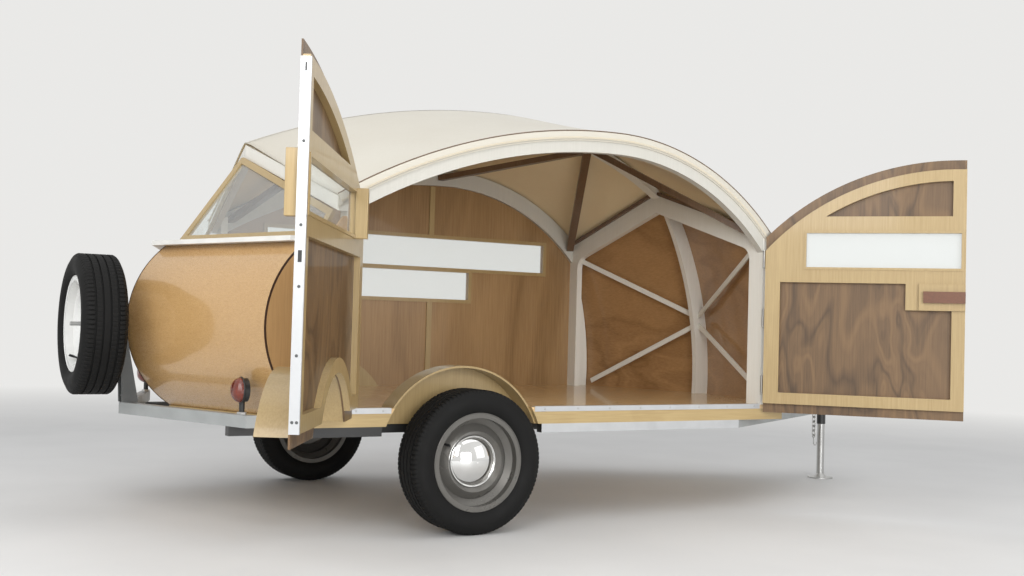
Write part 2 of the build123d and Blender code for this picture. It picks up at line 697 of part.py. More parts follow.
def coupler_pieces() -> dict:
    """Ball coupler, jack and safety chain at the front of the tongue."""
    coupler = rod(COUPLER_X, 0, RAIL_FOOT, FASCIA_FOOT + HEAD_T, COUPLER_R)
    coupler += box(HEAD_FRONT_X - NECK_BACK, COUPLER_X, -NECK_W / 2, NECK_W / 2, RAIL_FOOT, FASCIA_FOOT)
    lever_x = HEAD_FRONT_X + RUN_GAP
    coupler += box(lever_x, COUPLER_X, -LEVER_W / 2, LEVER_W / 2, FASCIA_FOOT, FASCIA_FOOT + LEVER_H)
    coupler -= rod(COUPLER_X, 0, RAIL_FOOT - OVERCUT, RAIL_FOOT + SOCKET_DEPTH, BALL_R + SOCKET_GAP)

    collar_foot = FASCIA_FOOT + HEAD_T
    hole_top = JACK_SLEEVE_TOP - 2 * SILL_T
    sleeve = rod(JACK_X, 0, JACK_SLEEVE_FOOT, JACK_SLEEVE_TOP, JACK_SLEEVE_R)
    sleeve += rod(JACK_X, 0, collar_foot, collar_foot + HEAD_T, JACK_SLEEVE_R + JACK_COLLAR_W)
    sleeve -= rod(JACK_X, 0, 0, hole_top, JACK_LEG_R + JACK_FIT)
    crank_z = JACK_SLEEVE_TOP + CRANK_LIFT
    crank_half = CRANK_W / 2
    grip_x = JACK_X + CRANK_L - GRIP_R
    sleeve += rod(JACK_X, 0, JACK_SLEEVE_TOP, crank_z, CRANK_SHAFT_R)
    sleeve += box(JACK_X - crank_half, JACK_X + CRANK_L, -crank_half, crank_half, crank_z, crank_z + CRANK_T)
    sleeve += rod(grip_x, 0, crank_z + CRANK_T, crank_z + CRANK_T + GRIP_H, GRIP_R)

    leg = rod(JACK_X, 0, 0, JACK_FOOT_T, JACK_FOOT_R)
    leg += rod(JACK_X, 0, JACK_FOOT_T, JACK_SLEEVE_FOOT + JACK_LAP, JACK_LEG_R)
    cone = Cone(JACK_LEG_R + JACK_COLLAR_W, JACK_LEG_R, JACK_CONE_H)
    leg += Pos(JACK_X, 0, JACK_FOOT_T + JACK_CONE_H / 2) * cone

    hang = (CHAIN_LINK_STRAIGHT + CHAIN_LINK_R) / 2
    slack = CHAIN_LINK_R - CHAIN_WIRE_R - CHAIN_PIN_R - FIT_GAP
    top_z = CHAIN_PIN_Z - CHAIN_LINK_STRAIGHT / 2 - slack
    chain_y = tongue_y(CHAIN_X) - RAIL_W - hang
    chain = Part()
    for number in range(CHAIN_LINKS):
        place = Pos(CHAIN_X, -chain_y, top_z - number * CHAIN_PITCH)
        chain += place * Rot(0, 0, 90 * (number % 2)) * chain_link()
    return {"coupler": coupler, "jack_sleeve": sleeve, "jack_leg": leg, "safety_chain": chain}


def chain_link() -> Part:
    """One long link in the X and Z plane, its wire swept round two bends and two straights."""
    loop = Plane.XZ * Rot(0, 0, 90) * SlotCenterToCenter(CHAIN_LINK_STRAIGHT, 2 * CHAIN_LINK_R)
    start = Plane((CHAIN_LINK_R, 0, 0), x_dir=(1, 0, 0), z_dir=(0, 0, 1))
    return sweep(start * Circle(CHAIN_WIRE_R), path=loop.wire())


def floor_pieces() -> dict:
    """Deck, its edge frame, sill strips, tongue deck and wheel housings."""
    prow_tip = prow_x(DECK_TOP) + PANEL_T
    stern_tip = barrel_x(DECK_FOOT, BARREL_R - BARREL_T) + RUN_GAP
    prow_corner = prow_tip - PROW_SIDE * DECK_HALF
    stern_corner = stern_tip + STERN_SIDE * DECK_HALF
    plan = [
        (prow_tip, 0),
        (prow_corner, DECK_HALF),
        (stern_corner, DECK_HALF),
        (stern_tip, 0),
        (stern_corner, -DECK_HALF),
        (prow_corner, -DECK_HALF),
    ]
    hole = disc(0, TYRE_R, WELL_R + FIT_GAP)
    wheel_room = Part() + [side_prism(hole, s, WELL_INNER_Y - FIT_GAP, FAR) for s in SIDES]
    deck = extrude(Plane.XY.offset(DECK_FOOT) * polygon(*plan), DECK_T) - wheel_room

    frame_plan = polygon(*plan) - polygon(*[inset(p) for p in plan])
    frame = extrude(Plane.XY.offset(FASCIA_FOOT) * frame_plan, FASCIA_H)
    inner = DECK_HALF - FASCIA_T
    for share in JOIST_SHARES:
        low = floor_x(share) - JOIST_W / 2
        frame += box(low, low + JOIST_W, -inner, inner, FASCIA_FOOT, DECK_FOOT)
    frame -= box(-FAR, stern_corner + 2 * FASCIA_T, -FAR, FAR, BARREL_FOOT, FAR)
    frame -= wheel_room
    stern = rectangle(barrel_x(BARREL_FOOT, BARREL_R), stern_tip + FASCIA_T, FASCIA_FOOT, BARREL_FOOT)
    frame += [slanted_prism(stern, s, STERN_SHIFT) & wide(DECK_HALF) for s in SIDES]

    gap_x = math.sqrt(WELL_R ** 2 - (DECK_FOOT - TYRE_R) ** 2) + RUN_GAP
    lip_z = DECK_TOP + SILL_T
    sill = Part()
    for start, end in ((gap_x, PORTAL_X), (POST_X, -gap_x)):
        sill += box(start, end, -FRAME_OUT, -DECK_HALF, lip_z - SILL_H, lip_z)
        sill += box(start, end, -DECK_HALF, -DECK_HALF + FASCIA_T, DECK_TOP, lip_z)

    wells = Part()
    for side, reach in ((RIGHT, WALL_IN - RUN_GAP), (LEFT, WALL_IN)):
        hoop = side_prism(disc(0, TYRE_R, WELL_R), side, WELL_INNER_Y, reach)
        hoop -= side_prism(disc(0, TYRE_R, CUT_R), side, WELL_INNER_Y + WELL_T, FAR)
        wells += hoop & box(-FAR, FAR, -FAR, FAR, FASCIA_FOOT, FAR)
    return {
        "floor_deck": deck,
        "floor_frame": frame,
        "sill_strips": sill,
        "tongue_deck": tongue_deck([(x + FIT_GAP, y) for x, y in plan]),
        "wheel_wells": wells,
    }


def tongue_deck(floor_plan: list) -> Part:
    """The boarded deck on the tongue in front of the floor, open below between its edge boards."""
    def between(margin: float) -> Sketch:
        side_y = tongue_y(EDGE_BEND_X) - margin
        tip_y = tongue_y(TONGUE_DECK_X) - margin
        right = [(EDGE_BEND_X, -side_y), (TONGUE_DECK_X, -tip_y)]
        return polygon(*right, (TONGUE_DECK_X, tip_y), (EDGE_BEND_X, side_y))

    board_y = FASCIA_T * math.hypot(1, TONGUE_SLOPE)
    deck = extrude(Plane.XY.offset(FASCIA_FOOT) * (between(0) - polygon(*floor_plan)), FASCIA_H)
    return deck - extrude(Plane.XY.offset(FASCIA_FOOT) * between(board_y), FASCIA_H - DECK_T)


def inset(point: tuple) -> tuple:
    """A corner of the floor plan moved in by the thickness of the edge boards."""
    x, y = point
    return (x - math.copysign(FASCIA_T, x), y - math.copysign(FASCIA_T, y) if y else 0.0)


def roof_line(y: float) -> float:
    """Top of the front gable under the canvas at one distance from the middle."""
    side_z = arch_z(PORTAL_FACE_X) - RUN_GAP
    middle_z = ridge_z(PORTAL_FACE_X, CANVAS_T) - RUN_GAP
    return middle_z + (side_z - middle_z) * y / FRAME_OUT


def frame_pieces() -> dict:
    """Arches, portal, posts, gable rails, ridge beam and rafters."""
    band = arch_band(POST_X, PORTAL_X, 0.0, ARCH_DEPTH)
    posts = rectangle(POST_FACE_X, POST_X, DECK_TOP, POST_TOP)
    rail = rectangle(GABLE_REAR_X, GABLE_X, GABLE_FOOT, GABLE_TOP)

    side_z = roof_line(FRAME_OUT)
    outer = polygon(
        (-FRAME_OUT, DECK_TOP),
        (-FRAME_OUT, side_z),
        (0, roof_line(0)),
        (FRAME_OUT, side_z),
        (FRAME_OUT, DECK_TOP),
    )
    inside_y = FRAME_OUT - PORTAL_POST_W
    inside_z = roof_line(inside_y) - PORTAL_RAIL_H
    inner = polygon(
        (-inside_y, DECK_FOOT),
        (-inside_y, inside_z),
        (0, roof_line(0) - PORTAL_RAIL_H),
        (inside_y, inside_z),
        (inside_y, DECK_FOOT),
    )
    corners = [v for v in inner.vertices() if v.Y > DECK_TOP and abs(v.X) > OVERCUT]
    portal = outer - fillet(corners, PORTAL_FILLET)
    return {
        "side_arches": Part() + [side_prism(band, s, FRAME_OUT - ARCH_T, FRAME_OUT) for s in SIDES],
        "front_portal": extrude(Plane.YZ.offset(PORTAL_X) * portal, PORTAL_T),
        "rear_posts": Part() + [side_prism(posts, s, FRAME_OUT - POST_W, FRAME_OUT) for s in SIDES],
        "rear_gable": Part() + [slanted_prism(rail, s, GABLE_SHIFT, GABLE_DROP) for s in SIDES],
        "ridge_beam": ridge_beam(GABLE_X + GABLE_SHIFT * RIDGE_BEAM_W / 2 / FRAME_OUT),
        "rafters": rafters(),
    }


def ridge_beam(rear_x: float) -> Part:
    """The curved beam under the ridge, from the rear gable to the front portal."""
    top = CANVAS_T + ROOF_PITCH * RIDGE_BEAM_W / 2
    outline = crown_band((RIDGE_X, RIDGE_Z), PORTAL_X, rear_x, ridge_z, top, top + RIDGE_BEAM_H)
    return wall_prism(outline, -RIDGE_BEAM_W / 2, RIDGE_BEAM_W / 2)


def rafters() -> Part:
    """Straight rafters that spread from two places on the ridge to the arches and corners."""
    room_l = PORTAL_X - POST_X
    side_y = FRAME_OUT - ARCH_T
    hub_depth = CANVAS_T + ROOF_PITCH * RIDGE_BEAM_W / 2 + RIDGE_BEAM_H / 2
    bars = []
    for side in SIDES:
        room = box(POST_X, PORTAL_X, *sorted((side * RIDGE_BEAM_W / 2, side * side_y)), DECK_TOP, RIDGE_Z)
        for (hub_share, arch_share), corner_x in zip(RAFTER_SHARES, (PORTAL_X, POST_X)):
            hub_x = POST_X + hub_share * room_l
            start = (hub_x, 0, ridge_z(hub_x, hub_depth))
            for foot_x in (POST_X + arch_share * room_l, corner_x):
                end = (foot_x, side * FRAME_OUT, arch_z(foot_x, ARCH_DEPTH / 2))
                bars.append(bar_between(start, end, RAFTER_W, RAFTER_H) & room)
    return Part() + bars


def roof_pieces() -> dict:
    """The canvas, one ruled skin from the ridge to both arches, and its edge trim."""
    seat = -FIT_GAP
    side = crown_band((ARCH_X, ARCH_TOP), CANVAS_FRONT_X, CANVAS_REAR_X, arch_z, seat - CANVAS_T, seat)
    ridge = crown_band((RIDGE_X, RIDGE_Z), RIDGE_FRONT_X, RIDGE_REAR_X, ridge_z, 0.0, CANVAS_T)
    sections = [
        Plane.XZ.offset(CANVAS_HALF) * side,
        Plane.XZ * ridge,
        Plane.XZ.offset(-CANVAS_HALF) * side,
    ]
    band = arch_band(CANVAS_REAR_X, CANVAS_FRONT_X, 0.0, TRIM_W)
    return {
        "roof_canvas": loft(sections, ruled=True),
        "canvas_trim": Part() + [side_prism(band, s, FRAME_OUT, CANVAS_HALF) for s in SIDES],
    }


def prow_band(near: float, far: float, z_low: float, z_high: float) -> Sketch:
    """The bowed band of the front wall between two offsets from the inner face."""
    strip = rectangle(PORTAL_FACE_X - PROW_REACH, PROW_X + PROW_REACH, z_low, z_high)
    middle_x = PROW_X - PROW_R
    return (strip & disc(middle_x + far, PROW_Z, PROW_R)) - disc(middle_x + near, PROW_Z, PROW_R)


def front_pieces() -> dict:
    """Front panels bowed and set in a shallow V, with the rib, braces and gussets."""
    side_z = roof_line(FRAME_OUT)
    roof = polygon(
        (-FRAME_OUT, DECK_TOP),
        (-FRAME_OUT, side_z),
        (0, ridge_z(RIDGE_FRONT_X, CANVAS_T) - FIT_GAP),
        (FRAME_OUT, side_z),
        (FRAME_OUT, DECK_TOP),
    )
    room = extrude(Plane.YZ.offset(PORTAL_FACE_X) * roof, 2 * PROW_REACH)
    band = prow_band(0, PANEL_T, DECK_TOP, RIDGE_Z)
    rib_gap = PROW_SIDE * RIB_T / 2 + FIT_GAP
    rib = prow_band(-rib_gap - RIB_DEPTH, -rib_gap, DECK_TOP, RIDGE_Z)

    post_y = FRAME_OUT - PORTAL_POST_W / 2
    height = side_z - DECK_TOP
    bars = Part()
    for side in SIDES:
        keep = box(PORTAL_FACE_X, FAR, *sorted((side * RIB_T / 2, side * FAR)), -FAR, FAR)
        for post_share, rib_share in BRACE_SHARES:
            rib_z = DECK_TOP + rib_share * height
            start = (PORTAL_FACE_X - PORTAL_T / 2, side * post_y, DECK_TOP + post_share * height)
            end = (prow_x(rib_z) - rib_gap - RIB_DEPTH / 2, 0, rib_z)
            bars += bar_between(start, end, BRACE_T, BRACE_W) & keep
    return {
        "front_panel_right": slanted_prism(band, RIGHT, -PROW_SHIFT) & room,
        "front_panel_left": slanted_prism(band, LEFT, -PROW_SHIFT) & room,
        "front_rib": wall_prism(rib, -RIB_T / 2, RIB_T / 2) & room,
        "front_braces": bars,
    }


def rear_pieces() -> dict:
    """Round stern panels, ledge, and the raked rear windows."""
    strip = rectangle(BARREL_REAR_X, BARREL_X, BARREL_FOOT, BARREL_TOP)
    shell = (strip & disc(BARREL_X, BARREL_Z, BARREL_R)) - disc(BARREL_X, BARREL_Z, BARREL_R - BARREL_T)
    ledge = rectangle(LEDGE_TIP_X, LEDGE_TIP_X + LEDGE_W, BARREL_TOP, LEDGE_TOP)
    pieces = {
        "barrel_right": slanted_prism(shell, RIGHT, STERN_SHIFT),
        "barrel_left": slanted_prism(shell, LEFT, STERN_SHIFT),
        "rear_ledge": Part() + [slanted_prism(ledge, s, STERN_SHIFT) for s in SIDES],
    }
    pieces.update(rear_windows())
    return pieces


def corner_pieces() -> dict:
    """Flat side panels that close the corners between the posts and the front and stern panels."""
    prow = disc(PROW_X - PROW_R - PROW_SHIFT - FIT_GAP, PROW_Z, PROW_R)
    front = rectangle(PORTAL_FACE_X, PROW_X, DECK_TOP, RIDGE_Z) & prow

    side_x = BARREL_X + STERN_SHIFT
    behind = rectangle(side_x - BARREL_R, min(side_x, POST_FACE_X), DECK_TOP, BARREL_TOP)
    lower = behind & disc(side_x, BARREL_Z, BARREL_R - BARREL_T - FIT_GAP)
    if POST_FACE_X > side_x:
        lower += rectangle(side_x, POST_FACE_X, DECK_TOP, BARREL_TOP)

    foot_x = GLASS_FOOT_X + STERN_SHIFT + 2 * WINDOW_FRAME_T
    top = GABLE_SIDE_TOP - GABLE_H - FASCIA_T
    slope = polygon((foot_x, LEDGE_TOP), (foot_x + GLASS_RAKE * FAR, LEDGE_TOP + FAR), (FAR, LEDGE_TOP))
    upper = slope & rectangle(foot_x, POST_FACE_X, LEDGE_TOP, top)
    outlines = (front, lower, upper)
    panels = [side_prism(o, s, FRAME_OUT - FASCIA_T, FRAME_OUT) for s in SIDES for o in outlines]
    return {"corner_panels": Part() + panels}


def rear_windows() -> dict:
    """Two raked windows in birch frames over the ledge, meeting on the middle plane."""
    frames = Part()
    panes = Part()
    side_share = (GABLE_FOOT - GABLE_DROP - LEDGE_TOP) / (GABLE_FOOT - LEDGE_TOP)
    for side in SIDES:
        foot_middle = Vector(GLASS_FOOT_X, 0, LEDGE_TOP)
        foot_side = Vector(GLASS_FOOT_X + STERN_SHIFT, side * FRAME_OUT, LEDGE_TOP)
        top_middle = Vector(GLASS_TOP_X, 0, GABLE_FOOT)
        along = foot_side - foot_middle
        face = Plane(foot_middle, x_dir=along, z_dir=along.cross(top_middle - foot_middle) * side)
        top = face.to_local_coords(top_middle)
        width = along.length
        outline = polygon((0, 0), (width, 0), (width, side_share * top.Y), (top.X, top.Y))
        opening = offset(outline, -WINDOW_FRAME_W, kind=Kind.INTERSECTION)
        keep = box(-FAR, FAR, *sorted((side * FIT_GAP, side * FRAME_OUT)), LEDGE_TOP, GABLE_FOOT)
        frames += extrude(face * (outline - opening), WINDOW_FRAME_T / 2, both=True) & keep
        panes += extrude(face * opening, PANE_T / 2, both=True) & keep
    return {"rear_window_frames": frames, "rear_window_panes": panes}


def left_pieces() -> dict:
    """The fixed left wall with its stepped windows, battens and fender."""
    upper = rectangle(WINDOW_REAR_X, WINDOW_FRONT_X, WINDOW_FOOT, WINDOW_TOP)
    lower = rectangle(WINDOW_REAR_X, DOOR_SPLIT_X + LEFT_STEP, LEFT_LOWER_FOOT, LEFT_LOWER_TOP)
    whole = under_arch(POST_X, PORTAL_X, DECK_TOP, ARCH_DEPTH + FIT_GAP)
    sheet = whole - disc(0, TYRE_R, CUT_R) - upper - lower

    around = grown(upper, LEFT_FRAME_W) + grown(lower, LEFT_FRAME_W) - upper - lower
    batten_rear = DOOR_SPLIT_X - BATTEN_BACK - BATTEN_W / 2
    batten_front = batten_rear + BATTEN_W
    low_top = LEFT_LOWER_FOOT - LEFT_FRAME_W - FIT_GAP
    high_foot = WINDOW_TOP + LEFT_FRAME_W + FIT_GAP
    high_top = arch_z(batten_rear, ARCH_DEPTH) - RUN_GAP
    trims = (
        around,
        rectangle(batten_rear, batten_front, DECK_TOP, low_top),
        rectangle(batten_rear, batten_front, high_foot, high_top),
    )
    pane_y = (WALL_IN + WALL_OUT - PANE_T) / 2
    panes = [side_prism(pane, LEFT, pane_y, pane_y + PANE_T) for pane in (upper, lower)]
    return {
        "left_wall": side_prism(sheet, LEFT, WALL_IN, WALL_OUT),
        "left_window_trim": Part() + [side_prism(t, LEFT, WALL_IN - BATTEN_T, WALL_IN) for t in trims],
        "left_panes": Part() + panes,
        "left_fender": side_prism(fender(), LEFT, WALL_OUT, BODY_HALF + FENDER_OUT),
    }


def fender() -> Sketch:
    """The half round hoop over a wheel."""
    hoop = disc(0, TYRE_R, FENDER_R) - disc(0, TYRE_R, FENDER_R - FENDER_T)
    return hoop & rectangle(-FAR, FAR, DOOR_SKIN_FOOT, FAR)


def door_leaf(door: str, free_x: float, window: Sketch) -> dict:
    """Skin, frame, pane and hinge leaves of one door in its shut place."""
    hinge_x, way = (HINGE_FRONT_X, -1) if door == "front" else (HINGE_REAR_X, 1)
    low, high = sorted((hinge_x + way * (HINGE_R + HINGE_EDGE), free_x))
    cut = disc(0, TYRE_R, CUT_R)
    skin = under_arch(low, high, DOOR_SKIN_FOOT, DOOR_SKIN_DEPTH) - window - cut
    frame = under_arch(low, high, DOOR_FRAME_FOOT, DOOR_FRAME_DEPTH) - window - cut

    panel_low, panel_high = sorted((hinge_x + way * HINGE_STILE_W, free_x - way * STILE_W))
    lower = rectangle(panel_low, panel_high, DOOR_FRAME_FOOT + BOTTOM_RAIL_H, PANEL_TOP)
    lower -= disc(0, TYRE_R, CUT_R + ARCH_RING_W)
    if door == "front":
        lower -= rectangle(free_x, free_x + LATCH_W + STILE_W, PANEL_TOP - LATCH_H, PANEL_TOP)
    eyebrow = under_arch(panel_low, panel_high, EYEBROW_FOOT, DOOR_FRAME_DEPTH + EYEBROW_RIM)

    bead = side_prism(grown(window, BEAD_W) - window, RIGHT, WALL_IN - BEAD_T, WALL_IN)
    return {
        f"{door}_door_skin": side_prism(skin, RIGHT, WALL_OUT, BODY_HALF),
        f"{door}_door_frame": side_prism(frame - lower - eyebrow, RIGHT, WALL_IN, WALL_OUT) + bead,
        f"{door}_door_pane": side_prism(window, RIGHT, WALL_OUT - PANE_T, WALL_OUT),
        f"{door}_door_hinges": hinge_leaves(hinge_x, way),
    }


def hinge_heights() -> list:
    """Middle heights of the hinges, spread over the height of the door at its hinge."""
    return [DECK_TOP + share * HINGE_ROOM for share in HINGE_SHARES]


def hinge_leaves(hinge_x: float, way: int) -> Part:
    """The door half of each hinge: a leaf on the skin and two knuckles on the pin."""
    gap = HINGE_SPAN / 6 + 3 * HINGE_GAP
    half = HINGE_SPAN / 2
    low, high = sorted((hinge_x, hinge_x + way * (HINGE_R + HINGE_EDGE + HINGE_LEAF_W)))
    leaves = Part()
    for z in hinge_heights():
        leaf = box(low, high, -BODY_HALF - HINGE_LEAF_T, -BODY_HALF, z - half, z + half)
        leaf += rod(hinge_x, -BODY_HALF, z - half, z + half, HINGE_R)
        leaf -= rod(hinge_x, -BODY_HALF, z - gap, z + gap, 2 * HINGE_R)
        leaves += leaf - rod(hinge_x, -BODY_HALF, z - HINGE_SPAN, z + HINGE_SPAN, HINGE_PIN_R + HINGE_GAP)
    return leaves


def hinge_posts() -> Part:
    """The body half of each hinge: a leaf on the post, the middle knuckle and the pin."""
    third = HINGE_SPAN / 6
    half = HINGE_SPAN / 2
    fixed = Part()
    for hinge_x, way in ((HINGE_FRONT_X, 1), (HINGE_REAR_X, -1)):
        root = hinge_x + way * HINGE_SET
        leaf_low, leaf_high = sorted((root, root + way * PORTAL_T))
        web_low, web_high = sorted((root, hinge_x + way * HINGE_R))
        for z in hinge_heights():
            leaf = box(leaf_low, leaf_high, -FRAME_OUT - HINGE_LEAF_T, -FRAME_OUT, z - half, z + half)
            leaf += box(web_low, web_high, -BODY_HALF, -FRAME_OUT, z - third, z + third)
            leaf += rod(hinge_x, -BODY_HALF, z - third, z + third, HINGE_R)
            fixed += leaf + rod(hinge_x, -BODY_HALF, z - half, z + half, HINGE_PIN_R)
    return fixed


def door_pieces() -> dict:
    """Both doors in the open place that they have at rest."""
    front_free = DOOR_SPLIT_X + RUN_GAP / 2
    rear_free = DOOR_SPLIT_X - RUN_GAP / 2
    strip_x = rear_free - EDGE_STRIP_W
    front_window = rectangle(front_free + WINDOW_EDGE, WINDOW_FRONT_X, WINDOW_FOOT, WINDOW_TOP)
    rear_window = rectangle(WINDOW_REAR_X, strip_x - WINDOW_EDGE, WINDOW_FOOT, WINDOW_TOP)
    front = door_leaf("front", front_free, front_window)
    rear = door_leaf("rear", rear_free, rear_window)

    block = rectangle(front_free, front_free + LATCH_W, PANEL_TOP - LATCH_H, PANEL_TOP)
    bar_z = PANEL_TOP - LATCH_H / 2
    bar = rectangle(front_free, front_free + HANDLE_W, bar_z - HANDLE_H / 2, bar_z + HANDLE_H / 2)
    block_y = WALL_IN - LATCH_T
    latch = side_prism(block, RIGHT, block_y, WALL_IN) + side_prism(bar, RIGHT, block_y - HANDLE_T, block_y)
    front["front_door_latch"] = latch
    strip_top = min(arch_z(strip_x, DOOR_FRAME_DEPTH), arch_z(rear_free, DOOR_FRAME_DEPTH)) - RUN_GAP
    strip = rectangle(strip_x, rear_free, DOOR_FRAME_FOOT, strip_top)
    rear["rear_door_edge"] = side_prism(strip, RIGHT, WALL_IN - EDGE_STRIP_T, WALL_IN)
    rear["rear_door_fender"] = side_prism(fender(), RIGHT, BODY_HALF, BODY_HALF + FENDER_OUT)
    pieces = {name: opened("front") * solid for name, solid in front.items()}
    pieces.update({name: opened("rear") * solid for name, solid in rear.items()})
    pieces["hinge_posts"] = hinge_posts()
    return pieces


def lamp_pieces() -> dict:
    """Round tail lamps on short stalks over the rear beam."""
    housings = Part()
    lenses = Part()
    for side in SIDES:
        y = side * LAMP_Y
        turned = Pos(LAMP_X, y, LAMP_Z) * Rot(0, -90, 0)
        cup = rod(0, 0, -LAMP_T / 2, LAMP_T / 2, LAMP_R)
        cup -= rod(0, 0, LAMP_T / 2 - LENS_SINK, LAMP_T, LENS_R)
        stalk_top = LAMP_Z - (LAMP_R + LENS_R) / 2
        housings += turned * cup + rod(LAMP_X, y, BEAM_TOP, stalk_top, STALK_R)
        lens_foot = LAMP_T / 2 - LENS_SINK
        lenses += turned * rod(0, 0, lens_foot, lens_foot + LENS_L, LENS_R - FIT_GAP)
    return {"lamp_housings": housings, "lamp_lenses": lenses}


def main() -> None:
    """Build every piece, move it into the coupler's frame and write one file for each."""
    os.makedirs("parts", exist_ok=True)
    groups = (
        wheel_pieces, spare_pieces, chassis_pieces, coupler_pieces, floor_pieces, frame_pieces, roof_pieces,
        front_pieces, rear_pieces, corner_pieces, left_pieces, door_pieces, lamp_pieces,
    )
    to_origin = Pos(-COUPLER_X, 0, -RAIL_FOOT)
    for group in groups:
        for name, solid in group().items():
            export_step(to_origin * solid, f"parts/{name}.step")


main()
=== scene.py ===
"""Looks of the wooden travel trailer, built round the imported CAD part.

Metres. Pieces are laid out from the point on the ground under the middle of the axle, and ORIGIN moves them
into the frame of the part, whose origin is the mouth of the coupler socket. +X ahead, +Y left, +Z up.
"""
from __future__ import annotations

import logging
from collections.abc import Callable, Iterable, Sequence
from dataclasses import dataclass, field
from enum import Enum
from functools import reduce
from math import asin, atan2, cos, hypot, radians, sin, sqrt, tau
from typing import ClassVar

import bmesh
import bpy
from mathutils import Matrix, Vector

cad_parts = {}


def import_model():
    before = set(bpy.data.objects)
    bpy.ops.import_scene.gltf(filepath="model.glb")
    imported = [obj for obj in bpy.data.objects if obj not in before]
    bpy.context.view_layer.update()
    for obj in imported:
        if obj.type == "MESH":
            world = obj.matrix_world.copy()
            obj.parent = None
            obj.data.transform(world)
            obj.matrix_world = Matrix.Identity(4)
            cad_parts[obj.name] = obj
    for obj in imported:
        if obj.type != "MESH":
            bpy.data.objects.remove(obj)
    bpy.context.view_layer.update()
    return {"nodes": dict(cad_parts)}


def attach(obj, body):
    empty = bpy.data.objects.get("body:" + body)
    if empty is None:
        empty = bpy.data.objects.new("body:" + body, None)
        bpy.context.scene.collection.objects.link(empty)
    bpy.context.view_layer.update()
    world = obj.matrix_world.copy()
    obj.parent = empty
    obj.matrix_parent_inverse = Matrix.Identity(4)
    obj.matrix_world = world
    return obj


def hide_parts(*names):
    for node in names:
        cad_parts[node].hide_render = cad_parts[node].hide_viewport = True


LOG = logging.getLogger("trailer")
ORIGIN = Vector((3.160, 0.0, 0.407))
FULL_SIZE = (1.0, 1.0, 1.0)
UP = (0, 0, 1)

Flat = tuple[float, float]
Point = tuple[float, float, float]
Colour = Point
Row = tuple[float, ...]
Line = tuple[Flat, ...]
Box = tuple[Point, Point]

SCREW_HEAD = ((0.0, 0.12), (0.35, 0.12), (0.42, 0.392), (0.75, 0.34), (0.97, 0.14), (1.0, 0.0))
BOLT_HEAD = ((0.0, 0.8), (0.85, 0.8), (1.0, 0.66), (1.0, 0.0))
WASHER = ((0.8, 0.2), (1.45, 0.2), (1.5, 0.0))


class Grain(Enum):
    """Which way the fibres of a wooden piece run."""

    ALONG = 0
    ACROSS = 1
    UP = 2


class Body(Enum):
    """The bodies of the part that the added pieces ride on."""

    TRAILER = "trailer"
    FRONT_DOOR = "door_front"
    REAR_DOOR = "door_rear"
    RIGHT_WHEEL = "wheel_right"
    LEFT_WHEEL = "wheel_left"


@dataclass(frozen=True)
class Value:
    """A socket of a shader graph that can be written in formulas."""

    graph: Graph
    socket: bpy.types.NodeSocket

    def _with(self, operation: str, other: object, swap: bool = False) -> Value:
        """Join this value and another by one operation, each kind by its own node.

        Args:
            operation: name of the operation.
            other: a value of the graph, or numbers.
            swap: put the other one first.

        Returns:
            The result.
        """
        first, second = (other, self) if swap else (self, other)
        if self.socket.type == "VECTOR":
            return self.graph.node("VectorMath", {"operation": operation}, {0: first, 1: second})
        if self.socket.type == "RGBA":
            return self.graph.blend(first, second, 1.0, operation)
        return self.graph.node("Math", {"operation": operation}, {0: first, 1: second})

    def __add__(self, other: object) -> Value:
        """Sum."""
        return self._with("ADD", other)

    def __radd__(self, other: object) -> Value:
        """Sum with the other one first."""
        return self._with("ADD", other, True)

    def __sub__(self, other: object) -> Value:
        """Difference."""
        return self._with("SUBTRACT", other)

    def __rsub__(self, other: object) -> Value:
        """Difference with the other one first."""
        return self._with("SUBTRACT", other, True)

    def __mul__(self, other: object) -> Value:
        """Product."""
        return self._with("MULTIPLY", other)

    def __rmul__(self, other: object) -> Value:
        """Product with the other one first."""
        return self._with("MULTIPLY", other, True)

    def __pow__(self, other: object) -> Value:
        """Power."""
        return self._with("POWER", other)

    def __rpow__(self, other: object) -> Value:
        """Power of the other one."""
        return self._with("POWER", other, True)

    def spread(self, low: float, high: float, to_low: float = 0.0, to_high: float = 1.0) -> Value:
        """Stretch the part of the value between two limits over another range.

        Args:
            low: value that gives to_low.
            high: value that gives to_high.
            to_low: first end of the new range.
            to_high: second end of the new range.

        Returns:
            The clamped new value.
        """
        limits = {"Value": self, "From Min": low, "From Max": high, "To Min": to_low, "To Max": to_high}
        return self.graph.node("MapRange", {}, limits)


